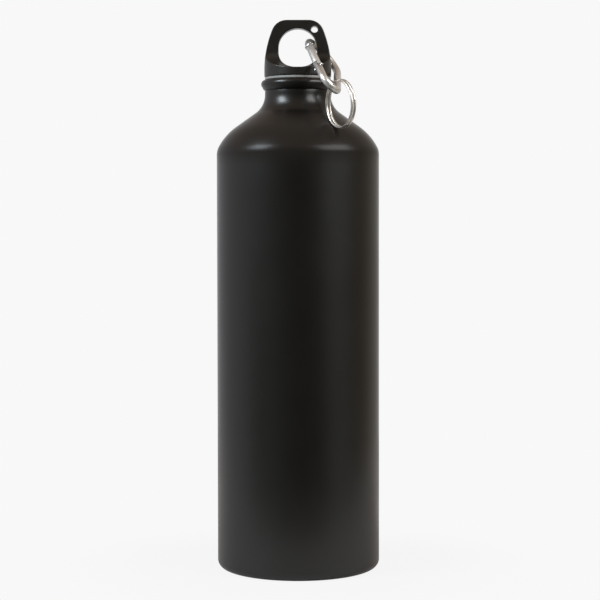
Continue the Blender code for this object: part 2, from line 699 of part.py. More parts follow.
def make_spring(parent, hinge_parent):
    mat = material("Spring steel", (0.4, 0.4, 0.4), 0.3, 1.0)
    radius = (SPRING_DIAMETER - SPRING_WIRE) / 2
    path = []
    frames = []
    steps = SPRING_TURNS * 9
    for i in range(steps + 1):
        angle = math.tau * SPRING_TURNS * i / steps
        out = Vector((math.cos(angle), math.sin(angle), 0))
        path.append(out * radius + Vector((0, 0, spring_start() + SPRING_LENGTH * i / steps)))
        frames.append((out, Vector((0, 0, 1))))
    spring = tube(path, frames, SPRING_WIRE / 2, 6)
    spring.transform(gate_frame())
    move_to_hinge(new_object("gate_spring", spring, mat, parent), hinge_parent)
    gap = SPRING_LENGTH / SPRING_TURNS - SPRING_WIRE
    print("gate_spring least gap between turns: %.2f mm" % (gap * 1000))


def make_plunger(parent, hinge_parent):
    mat = material("Plunger steel", (0.5, 0.5, 0.5), 0.3, 1.0)
    head = SPRING_DIAMETER / 2
    stem = SPRING_DIAMETER / 4
    tip = BAR_RADIUS + BORE_GAP
    shoulder = tip + PLUNGER_STEM
    outline = [(0, shoulder + PLUNGER_HEAD), (head, shoulder + PLUNGER_HEAD), (head, shoulder)]
    outline += [(stem, shoulder), (stem, tip + stem / 2), (stem / 2, tip), (0, tip)]
    plunger = turned(outline, PIN_SIDES)
    plunger.transform(gate_frame())
    move_to_hinge(new_object("spring_plunger", plunger, mat, parent), hinge_parent)


def ring_frame():
    """The ring's middle and directions in the carabiner's frame, and its swing centre."""
    hang = Vector((0, math.cos(RING_HANG_TURN), math.sin(RING_HANG_TURN)))
    along = Vector((0, -hang.z, hang.y))
    pivot = BOTTOM_CENTRE + hang * CLIP_BOTTOM_ARC
    radius = (RING_OUTER_DIAMETER - RING_WIRE) / 2
    lean = Matrix.Rotation(RING_LEAN, 3, along)
    hang = lean @ hang
    middle = pivot + hang * (radius - BAR_RADIUS - RING_WIRE / 2 - RING_PLAY)
    normal = lean @ (Vector((math.cos(RING_YAW), 0, 0)) + along * math.sin(RING_YAW))
    side = normal.cross(hang)
    return middle, normal, hang, side, pivot, radius


def ring_path():
    """The wire's centre line: one plane, a crossing, then the plane beside it."""
    middle, normal, hang, side, pivot, radius = ring_frame()
    pitch = RING_WIRE + RING_STRAND_GAP
    cross = RING_CROSSING_TURN
    start = cross + RING_END_GAP_TURN
    end = 2 * math.tau - start
    steps = 58
    path = []
    frames = []
    for i in range(steps + 1):
        turn = start + (end - start) * i / steps
        share = min(1.0, max(0.0, (turn - math.tau + cross) / (2 * cross)))
        offset = pitch * (share * share * (3 - 2 * share) - 0.5)
        angle = turn + RING_ROLL
        out = hang * math.cos(angle) + side * math.sin(angle)
        path.append(middle + out * radius + normal * offset)
        frames.append((out, normal))
    return path, frames


def rest_gap(points, outline):
    """The least distance from points to a turned outline, less than 0 inside it."""
    least = math.inf
    for point in points:
        spot = Vector((math.hypot(point.x, point.y), point.z))
        near = math.inf
        for low, high in zip(outline, outline[1:]):
            along = Vector(high) - Vector(low)
            share = min(1.0, max(0.0, (spot - Vector(low)).dot(along) / along.dot(along)))
            off = spot - Vector(low) - along * share
            distance = math.copysign(off.length, off.dot(Vector((along.y, -along.x))))
            near = min(near, distance, key=abs)
        least = min(least, near)
    return least


def clip_turn(crossing):
    """The carabiner's turn: its tilt, swung out until the ring clears the shoulder."""
    tilt = Euler(CLIP_TILT, "XYZ").to_matrix()
    ring = [tilt @ point for point in ring_path()[0]]
    wall = [(BODY_RADIUS, BASE_CORNER)] + shoulder_chain(0, NECK_RADIUS, NECK_FILLET)

    def clear(angle):
        swing = Matrix.Rotation(angle, 3, Vector(CLIP_SWING_AXIS_SHARES))
        gap = rest_gap([crossing + swing @ point for point in ring], wall)
        return gap - RING_WIRE / 2 >= RING_REST_GAP

    low, high = 0.0, CLIP_SWING_LIMIT
    if clear(low):
        high = low
    for _ in range(20):
        middle = (low + high) / 2
        if clear(middle):
            high = middle
        else:
            low = middle
    return Matrix.Rotation(high, 3, Vector(CLIP_SWING_AXIS_SHARES)) @ tilt


def make_ring(parent, swing_parent):
    mat = material("Bright steel ring", (0.66, 0.64, 0.61), 0.14, 1.0)
    path, frames = ring_path()
    ring = new_object("split_ring", tube(path, frames, RING_WIRE / 2, 8), mat, parent)
    ring.parent = swing_parent
    ring.data.transform(Matrix.Translation(-ring_frame()[4]))
    print("split_ring least gap between strands: %.2f mm" % (least_gap(path, RING_WIRE) * 1000))


def least_gap(path, wire):
    """The least gap of a wound wire to itself, between points half a turn apart or more."""
    apart = len(path) // 4
    best = min(
        (path[i] - path[j]).length for i in range(len(path)) for j in range(i + apart, len(path))
    )
    return best - wire


def main():
    clear_scene()
    make_bottle()
    cap_axis = empty("cap_axis", (0, 0, 0))
    make_gasket(cap_axis)
    make_cap(cap_axis)
    make_disc(cap_axis)
    crossing = Vector((HOLE_RADIUS - CLIP_HOLE_GAP, 0, HOLE_CENTRE_Z + CLIP_RISE))
    swing = empty("carabiner_swing_axis", crossing, cap_axis)
    swing.rotation_euler = clip_turn(crossing).to_euler()
    gate_axis = empty("gate_hinge_axis", GATE_HINGE, swing)
    ring_axis = empty("ring_swing_axis", ring_frame()[4], swing)
    make_frame(swing)
    make_gate(swing, gate_axis)
    make_pins(swing)
    make_spring(swing, gate_axis)
    make_plunger(swing, gate_axis)
    make_ring(swing, ring_axis)
    bpy.context.view_layer.update()


main()
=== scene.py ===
"""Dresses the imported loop-cap bottle: fine meshes, finishes, lamps, floor and camera.

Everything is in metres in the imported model's frame. +Z is up, and the view is along +Y.
"""

import math

import bmesh
import bpy
from mathutils import Euler, Matrix, Vector


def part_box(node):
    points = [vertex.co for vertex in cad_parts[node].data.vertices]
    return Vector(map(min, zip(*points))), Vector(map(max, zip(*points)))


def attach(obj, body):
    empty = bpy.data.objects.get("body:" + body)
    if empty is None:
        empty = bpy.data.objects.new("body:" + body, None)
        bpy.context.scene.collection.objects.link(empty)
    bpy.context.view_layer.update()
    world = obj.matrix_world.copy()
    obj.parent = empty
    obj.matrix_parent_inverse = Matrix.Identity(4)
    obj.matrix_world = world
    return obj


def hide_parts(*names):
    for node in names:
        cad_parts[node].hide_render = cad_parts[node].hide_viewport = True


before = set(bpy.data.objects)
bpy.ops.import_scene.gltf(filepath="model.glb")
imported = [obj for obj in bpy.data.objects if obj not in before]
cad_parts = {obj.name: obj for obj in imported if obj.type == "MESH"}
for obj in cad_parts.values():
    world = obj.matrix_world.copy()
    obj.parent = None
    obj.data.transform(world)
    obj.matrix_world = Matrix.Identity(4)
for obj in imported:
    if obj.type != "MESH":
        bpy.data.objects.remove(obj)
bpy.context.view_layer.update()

bl_info = {
    "name": "Loop-cap bottle",
    "version": (1, 0, 0),
    "blender": (4, 5, 0),
    "location": "View3D > Sidebar > Bottle",
    "description": "Builds the bottle's finished pieces around its packed model",
    "category": "Object",
}

SHELL_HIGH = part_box("bottle_shell")[1]
GASKET_LOW, GASKET_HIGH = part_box("cap_gasket")
CAP_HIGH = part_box("loop_cap")[1]

# Body wall, base and shoulder
BODY_WALL = 0.001
BASE_CORNER = 0.004
BASE_RING_WIDTH = 0.0045
BASE_DOME_RISE = 0.006
BASE_FLOOR = 0.0012
CORNER_RADIUS = 0.008
BELLY_RADIUS = 0.028
CORNER_TURN = math.radians(28.0)
SHOULDER_TURN = math.radians(54.5)
NECK_FILLET = 0.011
NECK_INNER_FILLET = 0.003

# Neck and its curled lip
NECK_RADIUS = 0.016
BORE_RADIUS = 0.0139
NECK_TOP = 0.23245
CREASE_HEIGHT = 0.0004
CREASE_DEPTH = 0.0005
CREASE_ROUND = 0.00012
LIP_RADIUS = 0.0021
LIP_OVERHANG = 0.00186
LIP_INNER_ROUND = 0.0013
LIP_START = math.radians(-25.0)

# How far a face of the inside has to point at the axis, down or up
FACES_AXIS = 0.5
FACES_DOWN = 0.05
FACES_UP = 0.2

# Screw thread
THREAD_LEAD = 0.004
THREAD_HEIGHT = 0.0009
THREAD_ROOT_WIDTH = 0.0016
THREAD_CREST_WIDTH = 0.0008
THREAD_SINK = 0.0003
THREAD_FLANK_GAP = 0.0002
THREAD_FADE = math.radians(50.0)
THREAD_TIP_GAP = 0.0004
NECK_THREAD_TURNS = 2.0
PLUG_THREAD_TURNS = 2.2
THREAD_BELOW_LIP = 0.003
THREAD_STEPS = 96
THREAD_END_SHARE = 0.1

# Cap
SEAT_GAP = 0.0002
GASKET_SPREAD = 0.00014
GASKET_INNER_ROUND = 0.0001
GASKET_OUTER_ROUND = 0.00034
COLLAR_CHAMFER = 0.0003
COLLAR_RIM_HEIGHT = 0.00385
SCOOP_RISE = 0.0039
SCOOP_BLEND = 0.0041
LOOP_THICKNESS = 0.007
SIDE_ARC = 0.0548
SIDE_ARC_RISE = 0.00255
LOOP_CORNER = 0.0075
HOLE_RADIUS = 0.0093
HOLE_TOP_WALL = 0.00405
HOLE_FLOOR_CORNER = 0.0082
LANYARD_RADIUS = 0.00166
LANYARD_X = 0.00814
LANYARD_BELOW_TOP = 0.00453
PLUG_RADIUS = 0.0126
PLUG_NECK_RADIUS = 0.0129
PLUG_NECK_LENGTH = 0.0022
PLUG_OVERLAP = 0.0008
PLUG_LENGTH = 0.0155
PLUG_CHAMFER = 0.0007
PLUG_WALL = 0.0024
DISC_LEDGE = 0.0007
DISC_THICKNESS = 0.0014
DISC_DISH = 0.0005
DISC_RIM = 0.002
HAIR_ROUND = 0.0001
MOULD_ROUND = 0.0002
SOFT_ROUND = 0.0003
PLUG_END_ROUND = 0.0005
CAP_VOXEL = 0.00021
CAP_EASE_STEPS = 9
CAP_BEVEL_ANGLE = 50.0
OVERRUN = 0.002

# Carabiner
TOP_ARC = 0.0103
BOTTOM_ARC = 0.0053
CENTRE_DISTANCE = 0.029
HOLE_GAP = 0.00255
CLIP_RISE = 0.0014
HANG_TURN = math.radians(155.0)
CLIP_TILT = (math.radians(-53.6), math.radians(-39.5), math.radians(-19.0))
GATE_LENGTH = 0.0206
GATE_HOOK = 0.0016
SWEEP_GAP = 0.0003
TONGUE_THICKNESS = 0.0014
TONGUE_LENGTH = 0.0026
FIT_GAP = 0.00015
CHEEK_FLAT = 0.0033
PIN_DIAMETER = 0.0012
PIN_LENGTH = 0.0052
PIN_SHANK = 0.0016
PIN_END_ROUND = 0.00024
RIVET_HEAD_DIAMETER = 0.0022
RIVET_HEAD_HEIGHT = 0.0004
RIVET_CROWN = ((0.42, 1.0, MOULD_ROUND), (0.86, 0.6, SOFT_ROUND), (1.0, 0.2, HAIR_ROUND))
SPRING_WIRE = 0.00025
SPRING_DIAMETER = 0.00135
SPRING_TURNS = 6
SPRING_LENGTH = 0.0052
BORE_GAP = 0.0002
PLUNGER_HEAD = 0.0008
PLUNGER_STEM = 0.0008
RECESS_DEPTH = 0.00032
BREAK_ANGLE = 38.0
PIN_STEEL = (0.55, 0.54, 0.52)
SPRING_STEEL = (0.42, 0.42, 0.42)
BRIGHT_TARNISH = (0.30, 0.26, 0.22, 1.0)

# Split ring
RING_DIAMETER = 0.0233
RING_WIRE = 0.00115
STRAND_GAP = 0.00042
CROSSING_TURN = math.radians(20.0)
END_GAP_TURN = math.radians(4.0)
RING_HANG_TURN = math.radians(-53.4)
RING_PLAY = 0.0007
RING_YAW = math.radians(56.5)
RING_LEAN = math.radians(12.5)
RING_ROLL = math.radians(200.0)
RING_TARNISH = (0.24, 0.17, 0.12, 1.0)
WIRE_TIP = 0.72
WIRE_TAPER = 400.0

# Edges that turn by more than these angles are shaded sharp
THREAD_CREASE = 34.0
ROUND_CREASE = 60.0
PIN_CREASE = 40.0
CUT_CREASE = 32.0

# Duller coat on the shoulder, with a lighter colour there as painted light
SHOULDER_GLOSS = 0.2
# painted light: the lighter colour of the shoulder band
SHOULDER_PAINTED_LIGHT = (0.0150, 0.0129, 0.0110, 1.0)
PLAIN_GLOSS = 0.5
DULL_PAINTED_BLEND = 0.006
DULL_PAINTED_TOP = 0.221

# Camera of the matched view
LENS = 103.2
SENSOR = 36.0
CAMERA_PLACE = (0.00093, -0.84, 0.1713)
CAMERA_TILT = 0.0346497
CAMERA_ROLL = -0.00159286
CAMERA_SHIFT_Y = -0.0391

# Floor and lamps
FLOOR_RADIUS = 0.32
FLOOR_FRONT = 0.13
FLOOR_GREY = (0.72, 0.72, 0.72, 1.0)
NEAR_GLOW = 0.94
GLOW_FADE = (0.5, 0.95)
LAMP_DISTANCE = 1.5
WHITE = (1.0, 1.0, 1.0, 1.0)

# The room's walls, by the way round: 0 is behind, 0.25 left, 0.5 the camera's side and 0.75 right
WALLS = (
    (0.0, (0.62, 0.62, 0.63)),
    (0.14, (0.54, 0.53, 0.56)),
    (0.25, (0.60, 0.59, 0.60)),
    (0.36, (0.28, 0.28, 0.27)),
    (0.51, (0.09, 0.088, 0.075)),
    (0.57, (0.10, 0.098, 0.085)),
    (0.66, (0.36, 0.36, 0.35)),
    (0.76, (0.25, 0.21, 0.16)),
    (0.87, (0.44, 0.40, 0.34)),
    (1.0, (0.66, 0.66, 0.66)),
)
CEILING = (0.36, 0.28, 0.22, 1.0)
CEILING_EDGE = (0.25, 0.75)
BACKDROP_EDGE = (0.88, 0.97)


def length(name, description, default):
    return bpy.props.FloatProperty(
        name=name, description=description, default=default, unit="LENGTH", precision=5
    )


def tint(name, description, default):
    return bpy.props.FloatVectorProperty(
        name=name, description=description, default=default, size=3, subtype="COLOR"
    )


def power(name, description, default):
    return bpy.props.FloatProperty(name=name, description=description, default=default, unit="POWER")


class BottleBodySettings(bpy.types.PropertyGroup):
    """Sizes and coating of the body."""

    radius: length("Body radius", "Outside radius of the body", 0.0395)
    straight_top: length("Body top", "Height where the shoulder starts", 0.2016)
    sides: bpy.props.IntProperty(name="Sides", description="Facets round the body", default=192, min=24)
    coat: tint("Coat", "Colour of the powder coat", (0.0042, 0.0037, 0.0031))
    lining: tint("Lining", "Colour of the lacquered inside", (0.50, 0.47, 0.42))


class LoopCapSettings(bpy.types.PropertyGroup):
    """Sizes and plastics of the cap and its gasket."""

    collar_radius: length("Collar radius", "Outside radius of the collar", 0.0163)
    edge_round: length("Edge round", "Round on the loop's edges", 0.0009)
    plastic: tint("Plastic", "Colour of the moulding", (0.0125, 0.0113, 0.0098))
    gasket: tint("Gasket", "Colour of the silicone", (0.34, 0.34, 0.33))


class CarabinerSettings(bpy.types.PropertyGroup):
    """Sizes and metal of the carabiner."""

    bar: length("Bar", "Diameter of the bar", 0.0036)
    edge_round: length("Edge break", "Round on the cut edges", 0.00012)
    metal: tint("Metal", "Colour of the bright metal", (0.80, 0.80, 0.785))


class SplitRingSettings(bpy.types.PropertyGroup):
    """Sizes and metal of the split ring."""

    wire: length("Wire", "Thickness of the wire across the ring", 0.0012)
    metal: tint("Metal", "Colour of the plated wire", (0.78, 0.75, 0.71))


class BottleStageSettings(bpy.types.PropertyGroup):
    """Floor, backdrop and lamps."""

    backdrop: bpy.props.FloatProperty(
        name="Backdrop", description="Brightness of the pale backdrop", default=0.939, min=0.0, max=1.0
    )
    key: power("Key lamp", "Power of the lamp at the left", 18.0)
    fill: power("Fill lamp", "Power of the lamp at the right", 17.0)


# Meshes


def arc(cx, cy, radius, start, end, steps, skip_first=False):
    """Points of an arc, from the start angle to the end angle."""
    points = []
    for i in range(1 if skip_first else 0, steps + 1):
        angle = start + (end - start) * i / steps
        points.append((cx + radius * math.cos(angle), cy + radius * math.sin(angle)))
    return points


def softened(points, closed=False, steps=5):
    """Round the corners of an outline of (across, height, round) points."""
    outline = []
    count = len(points)
    for i, (x, z, size) in enumerate(points):
        corner = Vector((x, z))
        if size == 0 or (not closed and i in (0, count - 1)):
            outline.append((x, z))
            continue
        before = Vector(points[i - 1][:2]) - corner
        after = Vector(points[(i + 1) % count][:2]) - corner
        reach = size / math.tan(before.angle(after) / 2)
        reach = min(reach, before.length * 0.49, after.length * 0.49)
        first = corner + before.normalized() * reach
        last = corner + after.normalized() * reach
        for k in range(steps + 1):
            t = k / steps
            point = first * (1 - t) ** 2 + corner * 2 * t * (1 - t) + last * t**2
            outline.append((point.x, point.y))
    return outline


def link(name, data):
    obj = bpy.data.objects.new(name, data)
    bpy.context.scene.collection.objects.link(obj)
    return obj


def line_object(name, points):
    """An object of one open line through the points."""
    mesh = bpy.data.meshes.new(name)
    mesh.from_pydata([tuple(p) for p in points], [(i, i + 1) for i in range(len(points) - 1)], [])
    return link(name, mesh)


def mesh_object(name, bm):
    mesh = bpy.data.meshes.new(name)
    bm.normal_update()
    bmesh.ops.recalc_face_normals(bm, faces=bm.faces)
    bm.to_mesh(mesh)
    bm.free()
    return link(name, mesh)


def skinned(rings):
    """A closed skin over rings of points, with a face over each end."""
    bm = bmesh.new()
    rings = [[bm.verts.new(point) for point in ring] for ring in rings]
    bm.faces.new(rings[0])
    bm.faces.new(rings[-1])
    for a, b in zip(rings, rings[1:]):
        for i in range(len(a)):
            j = (i + 1) % len(a)
            bm.faces.new((a[i], a[j], b[j], b[i]))
    return bm


def prism(points, axis, low, high):
    """Extrude a closed outline along X or Y, from low to high."""
    if axis == "X":
        return skinned([[(along, a, b) for a, b in points] for along in (low, high)])
    return skinned([[(a, along, b) for a, b in points] for along in (low, high)])


def rod(diameter, low, high, sides, matrix=Matrix()):
    """A round rod along Z from low to high, then placed."""
    bm = bmesh.new()
    size = {"radius1": diameter / 2, "radius2": diameter / 2, "depth": high - low}
    middle = Matrix.Translation((0, 0, (low + high) / 2))
    bmesh.ops.create_cone(bm, cap_ends=True, segments=sides, matrix=matrix @ middle, **size)
    return bm


def block(low, high, matrix=Matrix()):
    """A box between two corners, then placed."""
    bm = bmesh.new()
    size = Vector(high) - Vector(low)
    middle = Matrix.Translation((Vector(high) + Vector(low)) / 2)
    bmesh.ops.create_cube(bm, size=1, matrix=matrix @ middle @ Matrix.Diagonal((*size, 1)))
    return bm


def thread_ridge(root_radius, crest_radius, start_z, turns):
    """A helical ridge with a softened crest that fades into its wall at both ends."""
    sunk = root_radius - math.copysign(THREAD_SINK, crest_radius - root_radius)
    flank = [(0, THREAD_ROOT_WIDTH / 2), (0.86, THREAD_CREST_WIDTH * 0.6), (1, THREAD_CREST_WIDTH * 0.36)]
    section = [(share, -offset) for share, offset in flank] + flank[::-1]
    steps = round(turns * THREAD_STEPS)
    rings = []
    for i in range(steps + 1):
        angle = math.tau * turns * i / steps
        height = start_z + THREAD_LEAD * angle / math.tau
        fade = min(1.0, angle / THREAD_FADE, (math.tau * turns - angle) / THREAD_FADE)
        rise = (crest_radius - sunk) * max(fade, THREAD_END_SHARE)
        ring = []
        for share, offset in section:
            radius = sunk + rise * share
            ring.append((radius * math.cos(angle), radius * math.sin(angle), height + offset))
        rings.append(ring)
    return skinned(rings)


def modified(obj, name, kind, **settings):
    modifier = obj.modifiers.new(name, kind)
    for key, value in settings.items():
        setattr(modifier, key, value)
    return modifier


def baked(obj):
    """Turn an object and its modifiers into a plain mesh whose faces point outwards."""
    obj.update_tag()
    bpy.context.view_layer.update()
    depsgraph = bpy.context.evaluated_depsgraph_get()
    mesh = bpy.data.meshes.new_from_object(obj.evaluated_get(depsgraph), depsgraph=depsgraph)
    obj.modifiers.clear()
    obj.data = mesh
    mesh.name = obj.name
    bm = bmesh.new()
    bm.from_mesh(mesh)
    if bm.calc_volume(signed=True) < 0:
        bmesh.ops.reverse_faces(bm, faces=bm.faces)
    bm.to_mesh(mesh)
    bm.free()
    return obj


def combine(obj, shape, operation):
    """Cut, join or intersect an object with a shape."""
    tool = mesh_object("tool", shape)
    modified(obj, "Boolean", "BOOLEAN", operation=operation, solver="EXACT", object=tool)
    baked(obj)
    bpy.data.objects.remove(tool, do_unlink=True)


def bevelled(obj, width, degrees):
    """Add a small round to the edges that turn by more than an angle."""
    limit = {"limit_method": "ANGLE", "angle_limit": math.radians(degrees)}
    modified(obj, "Edge round", "BEVEL", width=width, segments=2, **limit)
    return obj


def creased(obj, degrees):
    """Shade an object smooth, apart from the edges that turn by more than an angle."""
    obj.data.shade_smooth()
    obj.data.set_sharp_from_angle(angle=math.radians(degrees))
    return obj


def broken_edges(obj, width):
    """Give the cut edges of a metal piece a small round."""
    creased(baked(bevelled(obj, width, BREAK_ANGLE)), CUT_CREASE)


def painted(obj, material):
    """Give the whole of an object one material."""
    obj.data.materials.clear()
    obj.data.materials.append(material)


def distance_to(point, start, end):
    """How far a point is from the straight line between two others."""
    along = end - start
    share = (point - start).dot(along) / along.length_squared
    return (point - start - along * min(1.0, max(0.0, share))).length


def paint_recess_shade(obj, line, radius, depth):
    """Give the cut faces that lie deeper than a depth inside a round bar a dark, dull material as painted
    shade.
    """
    obj.data.materials.append(recess_shade_material())
    dull_painted = len(obj.data.materials) - 1
    # painted shade: the faces deep in the slots and pin holes take the dark material
    for face in obj.data.polygons:
        nearest = min(distance_to(face.center, a, b) for a, b in zip(line, line[1:]))
        if nearest < radius - depth:
            face.material_index = dull_painted


def place(obj, matrix):
    obj.data.transform(matrix)
    obj.data.update()


# Nodes


class Output:
    """A node's output. The signs for sums carry it on into maths nodes."""

    def __init__(self, socket):
        self.socket = socket
        self.tree = socket.id_data

    def __add__(self, other):
        return maths("ADD", self, other)

    def __sub__(self, other):
        return maths("SUBTRACT", self, other)

    def __rsub__(self, other):
        return maths("SUBTRACT", other, self)

    def __mul__(self, other):
        return maths("MULTIPLY", self, other)

    def __truediv__(self, other):
        return maths("DIVIDE", self, other)

    def mapped(self, low, high, to_low=0.0, to_high=1.0, kind="LINEAR"):
        """This value carried over from one range to another, and held inside it."""
        ends = {"Value": self, "From Min": low, "From Max": high, "To Min": to_low, "To Max": to_high}
        return add(self.tree, "ShaderNodeMapRange", ends, interpolation_type=kind)


def feed(socket, value):
    """Link an input to a node's output, or give it a plain value."""
    if isinstance(value, Output):
        value.tree.links.new(value.socket, socket)
    else:
        socket.default_value = value


def outputs(tree, kind, inputs=(), **settings):
    """Add a node, set its properties, feed its inputs, and give back all its outputs."""
    made = tree.nodes.new(kind)
    for key, value in settings.items():
        setattr(made, key, value)
    for key, value in dict(inputs).items():
        feed(made.inputs[key], value)
    return made.outputs


def add(tree, kind, inputs=(), output=0, **settings):
    """Add a node and give back one output."""
    return Output(outputs(tree, kind, inputs, **settings)[output])


def maths(operation, *values):
    tree = next(value.tree for value in values if isinstance(value, Output))
    return add(tree, "ShaderNodeMath", enumerate(values), operation=operation)


def split(vector):
    """The X, Y and Z of a vector."""
    return [Output(socket) for socket in outputs(vector.tree, "ShaderNodeSeparateXYZ", {0: vector})]


def new_group(name, kind, inputs, results):
    """An empty node group and its inputs. Its sockets are (label, kind) or (label, kind, default)."""
    tree = bpy.data.node_groups.new(name, kind)
    for way, sockets in (("INPUT", inputs), ("OUTPUT", results)):
        for label, socket_kind, *default in sockets:
            socket = tree.interface.new_socket(label, in_out=way, socket_type="NodeSocket" + socket_kind)
            if default:
                socket.default_value = default[0]
    tree.nodes.new("NodeGroupOutput")
    return tree, {socket.name: Output(socket) for socket in tree.nodes.new("NodeGroupInput").outputs}


def group(label):
    """The node group with a name, made when it is first asked for."""
    return bpy.data.node_groups.get(label) or MAKERS[label](label)


def finish_group(tree, *results):
    """Feed the group's results in their order."""
    for socket, value in zip(tree.nodes["Group Output"].inputs, results):
        feed(socket, value)
    return tree


# Geometry trees


def shape_group(name, *inputs):
    """An empty geometry tree with a geometry input, its own inputs, a material and one output."""
    inputs = (("Geometry", "Geometry"), *inputs, ("Material", "Material"))
    return new_group(name, "GeometryNodeTree", inputs, [("Geometry", "Geometry")])


def finish_shape(tree, put, geometry):
    """Close a tree: real geometry, smooth faces and the given material."""
    real = add(tree, "GeometryNodeRealizeInstances", {"Geometry": geometry})
    smooth = add(tree, "GeometryNodeSetShadeSmooth", {"Geometry": real})
    finish = {"Geometry": smooth, "Material": put["Material"]}
    return finish_group(tree, add(tree, "GeometryNodeSetMaterial", finish))


def polar(radius, angle, height):
    """A place from its radius, angle and height."""
    x, y = (radius * maths(turn, angle) for turn in ("COSINE", "SINE"))
    return add(angle.tree, "ShaderNodeCombineXYZ", {"X": x, "Y": y, "Z": height})


def swept(tree, put, path, section, scale=1.0):
    """Sweep a section along a path and close the tree."""
    inputs = {"Curve": path, "Profile Curve": section, "Scale": scale, "Fill Caps": True}
    return finish_shape(tree, put, add(tree, "GeometryNodeCurveToMesh", inputs))


def turned_tree(name):
    """Spins an outline line in the XZ plane about Z."""
    tree, put = shape_group(name, ("Sides", "Int", 96))
    outline, sides = put["Geometry"], put["Sides"]
    count = add(tree, "GeometryNodeAttributeDomainSize", {"Geometry": outline}, "Point Count")
    columns = sides + 1.0
    grid = add(tree, "GeometryNodeMeshGrid", {"Vertices X": count, "Vertices Y": columns})
    index = add(tree, "GeometryNodeInputIndex")
    row = maths("FLOOR", index / columns)
    column = index - row * columns
    inputs = {"Geometry": outline, "Value": add(tree, "GeometryNodeInputPosition"), "Index": row}
    point = add(tree, "GeometryNodeSampleIndex", inputs, data_type="FLOAT_VECTOR", domain="POINT")
    radius, _, height = split(point)
    spot = polar(radius, column * math.tau / sides, height)
    spun = add(tree, "GeometryNodeSetPosition", {"Geometry": grid, "Position": spot})
    closed = add(tree, "GeometryNodeMergeByDistance", {"Geometry": spun, "Distance": 1e-7})
    return finish_shape(tree, put, closed)


def bar_tree(name):
    """Sweeps a round section along a line."""
    tree, put = shape_group(name, ("Radius", "Float", 0.001), ("Sides", "Int", 48))
    path = add(tree, "GeometryNodeMeshToCurve", {"Mesh": put["Geometry"]})
    circle = {"Resolution": put["Sides"], "Radius": put["Radius"]}
    return swept(tree, put, path, add(tree, "GeometryNodeCurvePrimitiveCircle", circle))


def wound_tree(name):
    """Winds a wire about Z: a plain helix, or flat turns joined by a short crossing."""
    sizes = {"Coil Radius": 0.01, "Wire Across": 0.001, "Wire Thick": 0.001, "Start": 0.0, "End": math.tau}
    sizes.update({"Rise": 0.001, "Rise From": 0.0, "Rise To": math.tau, "Ease": 1.0})
    inputs = [(label, "Float", default) for label, default in sizes.items()]
    tree, put = shape_group(name, *inputs, ("Points", "Int", 200), ("Sides", "Int", 20))
    share = add(tree, "GeometryNodeInputIndex") / (put["Points"] - 1.0)
    angle = put["Start"] + (put["End"] - put["Start"]) * share
    climb = (put["Rise From"], put["Rise To"], put["Rise"] * -0.5, put["Rise"] * 0.5)
    straight = angle.mapped(*climb)
    height = straight + (angle.mapped(*climb, "SMOOTHSTEP") - straight) * put["Ease"]
    line = add(tree, "GeometryNodeMeshLine", {"Count": put["Points"]})
    place = {"Geometry": line, "Position": polar(put["Coil Radius"], angle, height)}
    path = add(tree, "GeometryNodeMeshToCurve", {"Mesh": add(tree, "GeometryNodeSetPosition", place)})
    upright = add(tree, "GeometryNodeSetCurveNormal", {"Curve": path}, mode="Z_UP")
    taper = maths("MINIMUM", share * (1.0 - share) * WIRE_TAPER + WIRE_TIP, 1.0)
    circle = add(tree, "GeometryNodeCurvePrimitiveCircle", {"Resolution": put["Sides"], "Radius": 0.5})
    shape = {"X": put["Wire Thick"], "Y": put["Wire Across"], "Z": 1.0}
    size = {"Geometry": circle, "Scale": add(tree, "ShaderNodeCombineXYZ", shape)}
    return swept(tree, put, upright, add(tree, "GeometryNodeTransform", size), taper)


def grown(obj, label, **inputs):
    """Run one of the geometry trees on an object and keep the result as its mesh."""
    tree = group(label)
    modifier = modified(obj, label, "NODES", node_group=tree)
    for item in tree.interface.items_tree:
        key = item.name.lower().replace(" ", "_")
        if item.in_out == "INPUT" and key in inputs:
            modifier[item.identifier] = inputs[key]
    return baked(obj)


def wound(name, **inputs):
    """A wire wound about Z."""
    return grown(link(name, bpy.data.meshes.new(name)), "Wound wire", **inputs)


def turned(name, outline, sides, material, crease=None):
    """A piece spun about Z from an outline of (radius, height) points."""
    line = line_object(name, [(radius, 0, height) for radius, height in outline])
    piece = grown(line, "Turned piece", sides=sides, material=material)
    return creased(piece, crease) if crease else piece


# Shader groups


def surface_group(name, *inputs):
    """An empty shader group that makes a colour, a roughness and a height for a place."""
    inputs = (("Place", "Vector"), ("Colour", "Color"), *inputs)
    ends = (("Roughness Low", "Float"), ("Roughness High", "Float"))
    results = (("Colour", "Color"), ("Roughness", "Float"), ("Height", "Float"))
    return new_group(name, "ShaderNodeTree", (*inputs, *ends), results)


def noise(where, scale, detail, roughness):
    inputs = {"Vector": where, "Scale": scale, "Detail": detail, "Roughness": roughness}
    return add(where.tree, "ShaderNodeTexNoise", inputs)


def cells(where, scale, feature="F1"):
    return add(where.tree, "ShaderNodeTexVoronoi", {"Vector": where, "Scale": scale}, feature=feature)


def mixed(share, first, second):
    """The first colour with a share of the second."""
    return add(share.tree, "ShaderNodeMix", {0: share, 6: first, 7: second}, 2, data_type="RGBA")


def blended(first, second, share):
    """The sum of a share of the first value and the rest of the second."""
    return first * share + second * (1.0 - share)


